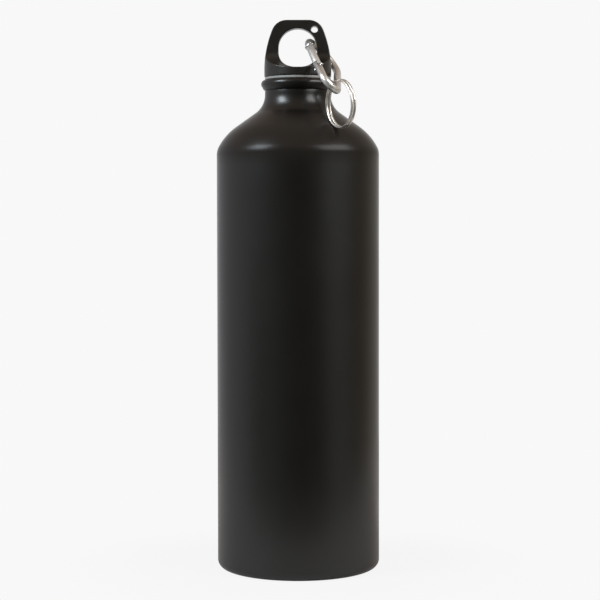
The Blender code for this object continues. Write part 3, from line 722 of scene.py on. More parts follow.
def grain_group(name):
    """Fine surface grain: pits, and a colour and a roughness that both drift softly."""
    scales = (("Grain Scale", "Float", 3000.0), ("Drift Scale", "Float", 30.0))
    tree, put = surface_group(name, *scales, ("Lightening", "Float", 1.3))
    fine = noise(put["Place"], put["Grain Scale"], 2.0, 0.6)
    broad = noise(put["Place"], put["Drift Scale"], 3.0, 0.5)
    pits = cells(put["Place"], put["Grain Scale"]).mapped(0.0, 0.6)
    lit = {0: put["Colour"], "Scale": put["Lightening"]}
    light = add(tree, "ShaderNodeVectorMath", lit, operation="SCALE")
    share = broad.mapped(0.35, 0.7, 0.0, 0.5) * fine.mapped(0.3, 0.7, 0.6, 1.0)
    rough = blended(broad, fine, 0.7).mapped(0.3, 0.7, put["Roughness Low"], put["Roughness High"])
    return finish_group(tree, mixed(share, put["Colour"], light), rough, blended(fine, pits, 0.6))


def metal_group(name):
    """Handled metal: drawn lines along one direction, scratches and tarnished smudges."""
    scales = (("Line Scale", "Float", 900.0), ("Smudge Scale", "Float", 260.0))
    tarnish = (("Tarnish", "Color", (0.3, 0.27, 0.24, 1.0)), ("Tarnish Share", "Float", 0.25))
    tree, put = surface_group(name, *tarnish, *scales)
    drawn = add(tree, "ShaderNodeMapping", {"Vector": put["Place"], "Scale": (1.0, 1.0, 0.08)})
    lines = noise(drawn, put["Line Scale"], 4.0, 0.7)
    smudge = noise(put["Place"], put["Smudge Scale"], 3.0, 0.55)
    scratch = cells(drawn, put["Line Scale"], "DISTANCE_TO_EDGE").mapped(0.0, 0.04, 1.0, 0.0)
    colour = mixed(smudge.mapped(0.45, 0.75) * put["Tarnish Share"], put["Colour"], put["Tarnish"])
    rough = blended(lines, smudge, 0.45).mapped(0.3, 0.7, put["Roughness Low"], put["Roughness High"])
    return finish_group(tree, colour, rough, lines - scratch * 0.35)


MAKERS = {
    "Turned piece": turned_tree,
    "Bent bar": bar_tree,
    "Wound wire": wound_tree,
    "Fine grain": grain_group,
    "Handled metal": metal_group,
}


# Materials


def finish_material(name, label, metallic, bump, depth, **values):
    """A Principled material fed by a shader group placed on the piece's own coordinates."""
    existing = bpy.data.materials.get(name)
    if existing:
        return existing
    material = bpy.data.materials.new(name)
    material.use_nodes = True
    tree = material.node_tree
    shader = tree.nodes["Principled BSDF"].inputs
    inputs = {key.replace("_", " ").title(): value for key, value in values.items()}
    inputs["Place"] = add(tree, "ShaderNodeTexCoord", output="Object")
    made = outputs(tree, "ShaderNodeGroup", inputs, node_tree=group(label))
    colour, rough, height = (Output(socket) for socket in made)
    relief = add(tree, "ShaderNodeBump", {"Height": height, "Strength": bump, "Distance": depth})
    feeds = {"Base Color": colour, "Roughness": rough, "Normal": relief, "Metallic": metallic}
    for key, value in feeds.items():
        feed(shader[key], value)
    return material


def coat_material(settings):
    """The powder coat, which lies thicker and duller on the shoulder, with its colour there lightened as
    painted light.
    """
    material = finish_material(
        "Satin black powder coat", "Fine grain", metallic=0.0, bump=0.12, depth=0.00004,
        colour=(*settings.coat, 1.0), grain_scale=4200.0, drift_scale=45.0,
        roughness_low=0.27, roughness_high=0.33, lightening=1.35,
    )
    shader = material.node_tree.nodes["Principled BSDF"].inputs
    if shader["Specular IOR Level"].is_linked:
        return material
    height = split(add(material.node_tree, "ShaderNodeTexCoord", output="Object"))[2]
    low = settings.straight_top
    above = height.mapped(DULL_PAINTED_TOP - DULL_PAINTED_BLEND, DULL_PAINTED_TOP, 1.0, 0.0)
    dull_painted = maths("MINIMUM", height.mapped(low - DULL_PAINTED_BLEND, low), above)
    feed(shader["Specular IOR Level"], dull_painted.mapped(0.0, 1.0, PLAIN_GLOSS, SHOULDER_GLOSS))
    coat = Output(shader["Base Color"].links[0].from_socket)
    # painted light: the shoulder band's colour is mixed towards a lighter grey-brown
    feed(shader["Base Color"], mixed(dull_painted, coat, SHOULDER_PAINTED_LIGHT))
    return material


def lining_material(settings):
    return finish_material(
        "Lacquered aluminum lining", "Handled metal", metallic=1.0, bump=0.1, depth=0.00005,
        colour=(*settings.lining, 1.0), tarnish=(0.36, 0.31, 0.24, 1.0),
        line_scale=500.0, smudge_scale=90.0, roughness_low=0.3, roughness_high=0.45,
    )


def plastic_material(settings):
    return finish_material(
        "Black moulded plastic", "Fine grain", metallic=0.0, bump=0.35, depth=0.00006,
        colour=(*settings.plastic, 1.0), grain_scale=2600.0, drift_scale=160.0,
        roughness_low=0.25, roughness_high=0.36, lightening=1.6,
    )


def silicone_material(settings):
    return finish_material(
        "Grey silicone", "Fine grain", metallic=0.0, bump=0.2, depth=0.00004,
        colour=(*settings.gasket, 1.0), grain_scale=2200.0, drift_scale=300.0,
        roughness_low=0.36, roughness_high=0.5, lightening=1.25,
    )


def bright_material(name, colour, rough, tarnish_share, tarnish=BRIGHT_TARNISH, bump=0.08):
    """Bare or plated metal of the carabiner, its pins and spring, and the ring."""
    return finish_material(
        name, "Handled metal", metallic=1.0, bump=bump, depth=0.00002,
        colour=(*colour, 1.0), tarnish=tarnish, tarnish_share=tarnish_share,
        line_scale=1500.0, smudge_scale=420.0, roughness_low=rough[0], roughness_high=rough[1],
    )


def recess_shade_material():
    """Dark, dull metal inside the joints' slots, painted as shade."""
    return finish_material(
        "Painted recess shade", "Handled metal", metallic=0.6, bump=0.1, depth=0.00003,
        # painted shade: a near-black colour with darker smudges
        colour=(0.035, 0.033, 0.030, 1.0), tarnish=(0.012, 0.011, 0.010, 1.0), tarnish_share=0.8,
        line_scale=1200.0, smudge_scale=700.0, roughness_low=0.45, roughness_high=0.7,
    )


# Outlines of the body and the cap

LIP_TOP = SHELL_HIGH.z
LIP_CENTRE_Z = LIP_TOP - LIP_RADIUS
GASKET_BOTTOM = GASKET_LOW.z
COLLAR_BOTTOM = GASKET_HIGH.z + SEAT_GAP
COLLAR_RIM = COLLAR_BOTTOM + COLLAR_RIM_HEIGHT
LOOP_TOP = CAP_HIGH.z
HOLE_CENTRE_Z = LOOP_TOP - HOLE_TOP_WALL - HOLE_RADIUS
PLUG_BOTTOM = COLLAR_BOTTOM - PLUG_LENGTH
THREAD_TOP = LIP_TOP - THREAD_BELOW_LIP


def shoulder_chain(radius, top, inset, neck_radius, fillet):
    """The shoulder from the body's wall up to the neck, as (radius, height) points."""
    corner_x = radius - CORNER_RADIUS
    points = arc(corner_x, top, CORNER_RADIUS - inset, 0, CORNER_TURN, 14)
    back = BELLY_RADIUS - CORNER_RADIUS
    belly_x = corner_x - back * math.cos(CORNER_TURN)
    belly_z = top - back * math.sin(CORNER_TURN)
    belly = BELLY_RADIUS - inset
    points += arc(belly_x, belly_z, belly, CORNER_TURN, SHOULDER_TURN, 16, True)
    end_x = belly_x + belly * math.cos(SHOULDER_TURN)
    end_z = belly_z + belly * math.sin(SHOULDER_TURN)
    fillet_x = neck_radius + fillet
    touch_x = fillet_x - fillet * math.cos(SHOULDER_TURN)
    touch_z = end_z + (end_x - touch_x) / math.tan(SHOULDER_TURN)
    fillet_z = touch_z + fillet * math.sin(SHOULDER_TURN)
    for i in range(1, 6):
        share = i / 6
        points.append((end_x + (touch_x - end_x) * share, end_z + (touch_z - end_z) * share))
    points += arc(fillet_x, fillet_z, fillet, math.pi + SHOULDER_TURN, math.pi, 22)
    return points


def body_outline(radius, top):
    """The wall's outline: up the outside, over the lip and down the inside."""
    quarter = math.pi / 2
    dome_edge = radius - BASE_CORNER - BASE_RING_WIDTH
    dome_radius = (dome_edge**2 + BASE_DOME_RISE**2) / (2 * BASE_DOME_RISE)
    dome_centre = BASE_DOME_RISE - dome_radius
    dome_turn = math.asin(dome_edge / dome_radius)
    outline = arc(0, dome_centre, dome_radius, quarter, quarter - dome_turn, 16)
    outline[0] = (0, outline[0][1])
    outline[-1] = (dome_edge, 0)
    corner_x = radius - BASE_CORNER
    outline += arc(corner_x, BASE_CORNER, BASE_CORNER, -quarter, 0, 16)
    outline += shoulder_chain(radius, top, 0, NECK_RADIUS, NECK_FILLET)
    lip_x = NECK_RADIUS + LIP_OVERHANG - LIP_RADIUS
    crease_top = NECK_TOP + CREASE_HEIGHT
    crease = [
        (*outline[-1], 0),
        (NECK_RADIUS, NECK_TOP, CREASE_ROUND),
        (NECK_RADIUS - CREASE_DEPTH, NECK_TOP, CREASE_ROUND),
        (NECK_RADIUS - CREASE_DEPTH, crease_top, CREASE_ROUND),
        (NECK_RADIUS + CREASE_DEPTH, crease_top, CREASE_ROUND),
    ]
    lip = arc(lip_x, LIP_CENTRE_Z, LIP_RADIUS, LIP_START, quarter, 26)
    outline = outline[:-1] + softened(crease + [(*lip[0], 0)], steps=3)[:-1] + lip
    inner_x = BORE_RADIUS + LIP_INNER_ROUND
    outline += arc(inner_x, LIP_TOP - LIP_INNER_ROUND, LIP_INNER_ROUND, quarter, math.pi, 10)
    outline += reversed(shoulder_chain(radius, top, BODY_WALL, BORE_RADIUS, NECK_INNER_FILLET))
    inner_corner = BASE_CORNER - BODY_WALL
    outline += arc(corner_x, BASE_CORNER, inner_corner, 0, -quarter, 8)
    outline += arc(0, dome_centre, dome_radius + BASE_FLOOR, quarter - dome_turn, quarter, 10)
    outline[-1] = (0, outline[-1][1])
    return outline


def is_inside(face, straight_top):
    """True for the faces of the bottle's inside: its wall, shoulder, floor and thread."""
    centre, normal = face.center, face.normal
    below_lip = centre.z < LIP_TOP - LIP_INNER_ROUND
    bore = Vector((centre.x, centre.y, 0)).normalized().dot(normal) < -FACES_AXIS
    thread = math.hypot(centre.x, centre.y) < BORE_RADIUS + THREAD_SINK / 2 and centre.z > straight_top
    shoulder = straight_top < centre.z < NECK_TOP and normal.z < -FACES_DOWN
    floor = centre.z < BASE_DOME_RISE * 2 and normal.z > FACES_UP
    return (below_lip and (bore or thread)) or shoulder or floor


def scoop_outline(collar):
    """The collar and the loop plate seen from the side, as (y, z) points."""
    half = LOOP_THICKNESS / 2
    reach = collar + OVERRUN
    slope = SCOOP_RISE / (collar - half)
    foot = Vector((collar, COLLAR_RIM))
    bend = Vector((half, COLLAR_RIM + SCOOP_RISE))
    top = Vector((half, COLLAR_RIM + SCOOP_RISE + SCOOP_BLEND))
    side = [(reach, COLLAR_BOTTOM - OVERRUN), (reach, COLLAR_RIM - OVERRUN * slope)]
    for i in range(25):
        t = i / 24
        point = foot * (1 - t) ** 2 + bend * 2 * t * (1 - t) + top * t**2
        side.append((point.x, point.y))
    side.append((half, LOOP_TOP + OVERRUN))
    return side + [(-y, z) for y, z in reversed(side)]


def loop_outline(collar):
    """The cap's front outline as (x, z) points: side arcs, corners and a flat top."""
    arc_z = COLLAR_BOTTOM + SIDE_ARC_RISE
    arc_x = collar - SIDE_ARC
    corner_z = LOOP_TOP - LOOP_CORNER
    reach = SIDE_ARC - LOOP_CORNER
    corner_x = arc_x + math.sqrt(reach**2 - (corner_z - arc_z) ** 2)
    turn = math.atan2(corner_z - arc_z, corner_x - arc_x)
    side = [(collar, COLLAR_BOTTOM - OVERRUN)]
    side += arc(arc_x, arc_z, SIDE_ARC, 0, turn, 20)
    side += arc(corner_x, corner_z, LOOP_CORNER, turn, math.pi / 2, 20, True)
    return side + [(-x, z) for x, z in reversed(side)]


def hole_outline():
    """The big hole: a half round top, short straight sides and a round-cornered floor."""
    floor_z = COLLAR_RIM + HOLE_FLOOR_CORNER
    corner_x = HOLE_RADIUS - HOLE_FLOOR_CORNER
    points = arc(0, HOLE_CENTRE_Z, HOLE_RADIUS, 0, math.pi, 48)
    points += arc(-corner_x, floor_z, HOLE_FLOOR_CORNER, math.pi, 1.5 * math.pi, 22)
    points += arc(corner_x, floor_z, HOLE_FLOOR_CORNER, 1.5 * math.pi, math.tau, 22)
    return points


# Places in the carabiner's own frame

SPREAD = math.asin((BOTTOM_ARC - TOP_ARC) / CENTRE_DISTANCE)
GATE_OUT = Vector((0, -math.cos(SPREAD), math.sin(SPREAD)))
GATE_DOWN = Vector((0, -GATE_OUT.z, GATE_OUT.y))
PIN_TURN = Matrix.Rotation(math.pi / 2, 4, "Y")
ALONG_Y = Matrix.Rotation(math.pi / 2, 4, "X")


def clip_centres(bar):
    inward = Vector((0, -math.cos(HANG_TURN), -math.sin(HANG_TURN)))
    top = inward * (TOP_ARC - bar / 2)
    bottom = top - Vector((0, 0, CENTRE_DISTANCE))
    return top, bottom, top + GATE_OUT * TOP_ARC


def clip_matrix():
    """From the carabiner's own frame to the bottle's."""
    crossing = Vector((HOLE_RADIUS - HOLE_GAP, 0, HOLE_CENTRE_Z + CLIP_RISE))
    return Matrix.Translation(crossing) @ Euler(CLIP_TILT, "XYZ").to_matrix().to_4x4()


def gate_matrix(bar):
    """Turns a shape made along +Z, with +X outwards, onto the gate's line."""
    turn = Matrix((GATE_OUT, GATE_DOWN.cross(GATE_OUT), GATE_DOWN)).transposed().to_4x4()
    return Matrix.Translation(clip_centres(bar)[2]) @ turn


def pin_place(bar, along):
    """Turns a shape made along +Z onto a pin's line, at a distance along the gate from its hinge."""
    return Matrix.Translation(clip_centres(bar)[2] + GATE_DOWN * along) @ PIN_TURN


def clip_path(bar):
    """The bar's centre line, from past the gate's hinge over the spine to the nose's tip."""
    top, bottom, hinge = clip_centres(bar)
    bends = arc(top.y, top.z, TOP_ARC, math.pi - SPREAD, SPREAD, 48)
    bends += arc(bottom.y, bottom.z, BOTTOM_ARC, SPREAD, -math.pi - SPREAD, 40)
    path = [Vector((0, y, z)) for y, z in bends]
    return [hinge + GATE_DOWN * bar, *path, hinge + GATE_DOWN * (GATE_LENGTH - TONGUE_LENGTH)]


def finished(obj, body, slot, *nodes):
    """Say which body a piece rides on, and hide the nodes it stands for. The finish slot is not used."""
    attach(obj, body)
    if nodes:
        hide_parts(*nodes)


# Operators


class BOTTLE_OT_body(bpy.types.Operator):
    """Turn the body with its shoulder, neck, lip and neck thread"""

    bl_idname = "bottle.body"
    bl_label = "Bottle body"

    def execute(self, context):
        settings = context.scene.bottle_body
        outline = body_outline(settings.radius, settings.straight_top)
        body = turned("bottle_body", outline, settings.sides, coat_material(settings))
        start = THREAD_TOP - THREAD_LEAD * NECK_THREAD_TURNS
        crest = BORE_RADIUS - THREAD_HEIGHT
        combine(body, thread_ridge(BORE_RADIUS, crest, start, NECK_THREAD_TURNS), "UNION")
        mesh = creased(body, THREAD_CREASE).data
        mesh.materials.append(lining_material(settings))
        for face in mesh.polygons:
            if is_inside(face, settings.straight_top):
                face.material_index = len(mesh.materials) - 1
        finished(body, "bottle", "body_coating", "bottle_shell")
        return {"FINISHED"}


class BOTTLE_OT_gasket(bpy.types.Operator):
    """Turn the silicone gasket"""

    bl_idname = "bottle.gasket"
    bl_label = "Gasket"

    def execute(self, context):
        inner = PLUG_NECK_RADIUS + SEAT_GAP
        outer = GASKET_HIGH.x
        low, high = GASKET_BOTTOM - GASKET_SPREAD, GASKET_HIGH.z + GASKET_SPREAD
        corners = [(inner, low, GASKET_INNER_ROUND), (inner, high, GASKET_INNER_ROUND)]
        corners += [(outer, high, GASKET_OUTER_ROUND), (outer, low, GASKET_OUTER_ROUND)]
        outline = softened(corners, closed=True)
        silicone = silicone_material(context.scene.loop_cap)
        gasket = turned("silicone_gasket", outline + outline[:1], 128, silicone, ROUND_CREASE)
        finished(gasket, "gasket", "gasket_silicone", "cap_gasket")
        return {"FINISHED"}


def make_plug(plastic):
    """The hollow plug under the collar, with its thread."""
    inside = COLLAR_BOTTOM + PLUG_OVERLAP
    neck_end = COLLAR_BOTTOM - PLUG_NECK_LENGTH
    hollow = PLUG_RADIUS - PLUG_WALL
    mouth = hollow + DISC_LEDGE
    ledge = PLUG_BOTTOM + DISC_THICKNESS + 2 * SEAT_GAP
    step = PLUG_NECK_RADIUS - PLUG_RADIUS
    corners = [
        (0, inside, 0),
        (PLUG_NECK_RADIUS, inside, 0),
        (PLUG_NECK_RADIUS, neck_end, HAIR_ROUND),
        (PLUG_RADIUS, neck_end - step, HAIR_ROUND),
        (PLUG_RADIUS, PLUG_BOTTOM + PLUG_CHAMFER, SOFT_ROUND),
        (PLUG_RADIUS - PLUG_CHAMFER, PLUG_BOTTOM, SOFT_ROUND),
        (mouth, PLUG_BOTTOM, MOULD_ROUND),
        (mouth, ledge, 0),
        (hollow, ledge, HAIR_ROUND),
        (hollow, COLLAR_BOTTOM, PLUG_END_ROUND),
        (0, COLLAR_BOTTOM, 0),
    ]
    plug = turned("threaded_plug", softened(corners, steps=4), 128, plastic)
    crest = BORE_RADIUS - THREAD_TIP_GAP
    ridge = thread_ridge(PLUG_RADIUS, crest, thread_start(crest), PLUG_THREAD_TURNS)
    combine(plug, ridge, "UNION")
    painted(plug, plastic)
    creased(plug, THREAD_CREASE)
    finished(plug, "cap", "cap_plastic")


def thread_start(crest_radius):
    """Where the plug's ridge starts, so that its upper flank bears on the neck's ridge."""
    middle = (crest_radius + BORE_RADIUS - THREAD_HEIGHT) / 2
    taper = THREAD_ROOT_WIDTH - THREAD_CREST_WIDTH
    plug_share = (middle - PLUG_RADIUS) / (crest_radius - PLUG_RADIUS)
    neck_share = (BORE_RADIUS - middle) / THREAD_HEIGHT
    widths = 2 * THREAD_ROOT_WIDTH - taper * (plug_share + neck_share)
    return THREAD_TOP - THREAD_LEAD * NECK_THREAD_TURNS - widths / 2 - THREAD_FLANK_GAP


def make_disc(plastic):
    radius = PLUG_RADIUS - PLUG_WALL + DISC_LEDGE - SEAT_GAP
    rim = radius - DISC_RIM
    bottom = PLUG_BOTTOM + SEAT_GAP
    top = bottom + DISC_THICKNESS
    corners = [
        (0, top, 0),
        (radius, top, MOULD_ROUND),
        (radius, bottom, SOFT_ROUND),
        (rim, bottom, MOULD_ROUND),
        (rim - DISC_DISH, bottom + DISC_DISH, MOULD_ROUND),
        (0, bottom + DISC_DISH, 0),
    ]
    disc = turned("plug_cover_disc", softened(corners, steps=4), 96, plastic, ROUND_CREASE)
    finished(disc, "cap", "disc_plastic", "plug_disc")


class BOTTLE_OT_cap(bpy.types.Operator):
    """Mould the cap: its collar, loop, hole and lanyard hole, then the threaded plug and its disc"""

    bl_idname = "bottle.cap"
    bl_label = "Loop cap"

    def execute(self, context):
        settings = context.scene.loop_cap
        plastic = plastic_material(settings)
        collar = settings.collar_radius
        reach = collar + OVERRUN
        above = LOOP_TOP + OVERRUN
        stock = [(0, COLLAR_BOTTOM), (collar - COLLAR_CHAMFER, COLLAR_BOTTOM)]
        stock += [(collar, COLLAR_BOTTOM + COLLAR_CHAMFER), (collar, above), (0, above)]
        cap = turned("loop_cap_moulding", stock, 144, plastic)
        combine(cap, prism(scoop_outline(collar), "X", -reach, reach), "INTERSECT")
        combine(cap, prism(loop_outline(collar), "Y", -reach, reach), "INTERSECT")
        combine(cap, prism(hole_outline(), "Y", -reach, reach), "DIFFERENCE")
        spot = Matrix.Translation((LANYARD_X, 0, LOOP_TOP - LANYARD_BELOW_TOP))
        combine(cap, rod(2 * LANYARD_RADIUS, -reach, reach, 48, spot @ ALONG_Y), "DIFFERENCE")
        bevelled(cap, settings.edge_round, CAP_BEVEL_ANGLE)
        modified(cap, "Even skin", "REMESH", mode="VOXEL", voxel_size=CAP_VOXEL)
        modified(cap, "Eased edges", "SMOOTH", factor=0.5, iterations=CAP_EASE_STEPS)
        baked(cap)
        cap.data.shade_smooth()
        painted(cap, plastic)
        finished(cap, "cap", "cap_plastic", "loop_cap")
        make_plug(plastic)
        make_disc(plastic)
        return {"FINISHED"}


class BOTTLE_OT_carabiner(bpy.types.Operator):
    """Bend the carabiner's bar and cut its tongues and pin holes"""

    bl_idname = "bottle.carabiner"
    bl_label = "Carabiner bar"

    def execute(self, context):
        settings = context.scene.carabiner
        bar = settings.bar
        metal = bright_material("Satin carabiner bar", settings.metal, (0.34, 0.48), 0.2)
        path = clip_path(bar)
        line = line_object("carabiner_bar", path)
        frame_piece = grown(line, "Bent bar", radius=bar / 2, sides=56, material=metal)
        inner = TONGUE_THICKNESS / 2
        outer = bar / 2 + OVERRUN
        start = GATE_LENGTH - TONGUE_LENGTH - OVERRUN
        end = GATE_LENGTH + GATE_HOOK + SWEEP_GAP
        shapes = []
        for low, high in ((inner, outer), (-outer, -inner)):
            shapes.append(rod(bar + 2 * SWEEP_GAP, low, high, 64, pin_place(bar, 0)))
            shapes.append(block((-outer, low, start), (outer, high, end), gate_matrix(bar)))
        rounding = arc(0, 0, bar / 2, 0, math.pi, 24)
        rounding += [(-outer, 0), (-outer, 2 * outer), (outer, 2 * outer), (outer, 0)]
        knuckle_end = prism(rounding, "Y", -outer, outer)
        knuckle_end.transform(gate_matrix(bar))
        shapes.append(knuckle_end)
        for along in (0, GATE_LENGTH):
            shapes.append(rod(PIN_DIAMETER + 2 * FIT_GAP, -outer, outer, 32, pin_place(bar, along)))
        for shape in shapes:
            combine(frame_piece, shape, "DIFFERENCE")
        broken_edges(frame_piece, settings.edge_round)
        # painted shade in the frame's slots and pin holes
        paint_recess_shade(frame_piece, path[::2] + path[-1:], bar / 2, RECESS_DEPTH)
        place(frame_piece, clip_matrix())
        finished(frame_piece, "carabiner", "carabiner_aluminium", "carabiner_frame")
        return {"FINISHED"}


def make_pin(name, bar, top, along, steps, sides):
    """A pin from the upper half of its outline, at a distance along the gate from its hinge."""
    metal = bright_material("Drawn steel pins", PIN_STEEL, (0.18, 0.34), 0.3)
    outline = top + [(r, -z, size) for r, z, size in reversed(top)]
    pin = turned(name, softened(outline, steps=steps), sides, metal, PIN_CREASE)
    place(pin, clip_matrix() @ pin_place(bar, along))
    return pin


def make_pins(bar):
    """The rivet at the hinge, with its crowned heads, and the cross pin at the latch."""
    half = CHEEK_FLAT / 2 + FIT_GAP
    radius = PIN_DIAMETER / 2
    head = RIVET_HEAD_DIAMETER / 2
    top = [(0, half + RIVET_HEAD_HEIGHT, 0)]
    top += [(head * out, half + RIVET_HEAD_HEIGHT * up, size) for out, up, size in RIVET_CROWN]
    top += [(head, half, HAIR_ROUND / 2), (radius, half, 0)]
    rivet = make_pin("hinge_rivet", bar, top, 0, steps=3, sides=48)
    finished(rivet, "carabiner", "pin_steel", "gate_rivet")
    end = PIN_LENGTH / 2
    top = [(0, end, 0), (radius, end, PIN_END_ROUND), (radius, end - PIN_SHANK, 0)]
    pin = make_pin("latch_pin", bar, top, GATE_LENGTH, steps=5, sides=40)
    finished(pin, "carabiner", "pin_steel", "gate_latch_pin")


def make_spring(bar, start):
    """The spring from its lower end in the gate's bore, and the plunger between it and the hinge."""
    metal = bright_material("Spring wire", SPRING_STEEL, (0.2, 0.35), 0.2)
    end = math.tau * SPRING_TURNS
    spring = wound(
        "coil_spring", coil_radius=(SPRING_DIAMETER - SPRING_WIRE) / 2,
        wire_across=SPRING_WIRE, wire_thick=SPRING_WIRE, start=0.0, end=end, rise=SPRING_LENGTH,
        rise_from=0.0, rise_to=end, ease=0.0, points=SPRING_TURNS * 32, sides=12, material=metal,
    )
    line = clip_matrix() @ gate_matrix(bar)
    place(spring, line @ Matrix.Translation((0, 0, start + SPRING_LENGTH / 2)))
    finished(spring, "gate", "spring_steel", "gate_spring")
    head = SPRING_DIAMETER / 2
    stem = SPRING_DIAMETER / 4
    tip = bar / 2 + BORE_GAP
    shoulder = tip + PLUNGER_STEM
    corners = [
        (0, shoulder + PLUNGER_HEAD, 0),
        (head, shoulder + PLUNGER_HEAD, HAIR_ROUND),
        (head, shoulder, HAIR_ROUND),
        (stem, shoulder, 0),
        (stem, tip, stem * 0.8),
        (0, tip, 0),
    ]
    plunger = turned("spring_follower", softened(corners, steps=4), 32, metal, PIN_CREASE)
    place(plunger, line)
    finished(plunger, "gate", "spring_steel", "spring_plunger")


class BOTTLE_OT_gate(bpy.types.Operator):
    """Make the gate with its rivet, latch pin, spring and plunger"""

    bl_idname = "bottle.gate"
    bl_label = "Gate and pins"

    def execute(self, context):
        settings = context.scene.carabiner
        bar = settings.bar
        half = bar / 2
        end = GATE_LENGTH + GATE_HOOK
        past = end + OVERRUN
        outer = half + OVERRUN
        slot = TONGUE_THICKNESS / 2 + FIT_GAP
        cheek = CHEEK_FLAT / 2
        gate = mesh_object("gate_bar", rod(bar, -half, end, 56))
        painted(gate, bright_material("Satin gate bar", settings.metal, (0.46, 0.58), 0.2))
        pill = arc(0, 0, half, math.pi, math.tau, 24)
        pill += [(outer, 0), (outer, past), (-outer, past), (-outer, 0)]
        combine(gate, prism(pill, "Y", -outer, outer), "INTERSECT")
        latch = GATE_LENGTH - TONGUE_LENGTH - 2 * SWEEP_GAP
        notch = PIN_DIAMETER / 2 + SWEEP_GAP
        start = half + BORE_GAP + PLUNGER_STEM + PLUNGER_HEAD + SPRING_WIRE
        bore_end = start + SPRING_LENGTH + SPRING_WIRE + BORE_GAP
        for shape in (
            block((-outer, cheek, -outer), (outer, outer, half + SWEEP_GAP)),
            block((-outer, -outer, -outer), (outer, -cheek, half + SWEEP_GAP)),
            block((-outer, -slot, -outer), (outer, slot, half + 2 * SWEEP_GAP)),
            block((-outer, -slot, latch), (outer, slot, past)),
            block((-notch, -outer, GATE_LENGTH - notch), (outer, outer, GATE_LENGTH + notch)),
            rod(SPRING_DIAMETER + 2 * BORE_GAP, half, bore_end, 32),
            rod(PIN_DIAMETER + 2 * FIT_GAP, -outer, outer, 32, ALONG_Y),
        ):
            combine(gate, shape, "DIFFERENCE")
        broken_edges(gate, settings.edge_round)
        axis = [Vector((0, 0, along)) for along in (0, GATE_LENGTH, past)]
        # painted shade in the gate's slots, bore and pin hole
        paint_recess_shade(gate, axis, half, RECESS_DEPTH)
        place(gate, clip_matrix() @ gate_matrix(bar))
        finished(gate, "gate", "gate_aluminium", "carabiner_gate")
        make_pins(bar)
        make_spring(bar, start)
        return {"FINISHED"}


class BOTTLE_OT_ring(bpy.types.Operator):
    """Wind the split ring through the carabiner's lower bend"""

    bl_idname = "bottle.ring"
    bl_label = "Split ring"

    def execute(self, context):
        settings = context.scene.split_ring
        bar = context.scene.carabiner.bar
        metal = bright_material("Plated ring wire", settings.metal, (0.34, 0.46), 0.8, RING_TARNISH, 0.0)
        hang = Vector((0, math.cos(RING_HANG_TURN), math.sin(RING_HANG_TURN)))
        along = Vector((0, -hang.z, hang.y))
        pivot = clip_centres(bar)[1] + hang * BOTTOM_ARC
        radius = (RING_DIAMETER - RING_WIRE) / 2
        lean = Matrix.Rotation(RING_LEAN, 3, along)
        hang = lean @ hang
        middle = pivot + hang * (radius - bar / 2 - RING_WIRE / 2 - RING_PLAY)
        normal = lean @ (Vector((math.cos(RING_YAW), 0, 0)) + along * math.sin(RING_YAW))
        side = normal.cross(hang)
        start = CROSSING_TURN + END_GAP_TURN
        ring = wound(
            "split_ring_wire", coil_radius=radius, wire_across=settings.wire, wire_thick=RING_WIRE,
            start=start + RING_ROLL, end=2 * math.tau - start + RING_ROLL, rise=RING_WIRE + STRAND_GAP,
            rise_from=math.tau - CROSSING_TURN + RING_ROLL, rise_to=math.tau + CROSSING_TURN + RING_ROLL,
            points=360, sides=24, material=metal,
        )
        turn = Matrix((hang, side, normal)).transposed().to_4x4()
        place(ring, clip_matrix() @ Matrix.Translation(middle) @ turn)
        creased(ring, ROUND_CREASE)
        finished(ring, "ring", "ring_nickel", "split_ring")
        return {"FINISHED"}


def make_floor(settings):
    """A pale disc that looks like the backdrop to the camera, a little darker at the bottle."""
    bm = bmesh.new()
    bmesh.ops.create_circle(bm, cap_ends=True, segments=96, radius=FLOOR_RADIUS)
    bm.transform(Matrix.Translation((0, FLOOR_RADIUS - FLOOR_FRONT, 0)))
    floor = mesh_object("floor", bm)
    material = bpy.data.materials.new("Pale floor")
    material.use_nodes = True
    tree = material.node_tree
    shader = tree.nodes["Principled BSDF"]
    shader.inputs["Base Color"].default_value = FLOOR_GREY
    shader.inputs["Roughness"].default_value = 0.7
    glow = add(tree, "ShaderNodeEmission", {"Color": WHITE, "Strength": settings.backdrop})
    where = add(tree, "ShaderNodeTexCoord", output="Object")
    away = add(tree, "ShaderNodeVectorMath", {0: where}, "Value", operation="LENGTH")
    near, far = (FLOOR_FRONT * share for share in GLOW_FADE)
    even = away.mapped(near, far, NEAR_GLOW, 1.0)
    share = add(tree, "ShaderNodeLightPath", output="Is Camera Ray") * even
    plain = Output(shader.outputs[0])
    mix = add(tree, "ShaderNodeMixShader", {0: share, 1: plain, 2: glow})
    feed(tree.nodes["Material Output"].inputs["Surface"], mix)
    painted(floor, material)


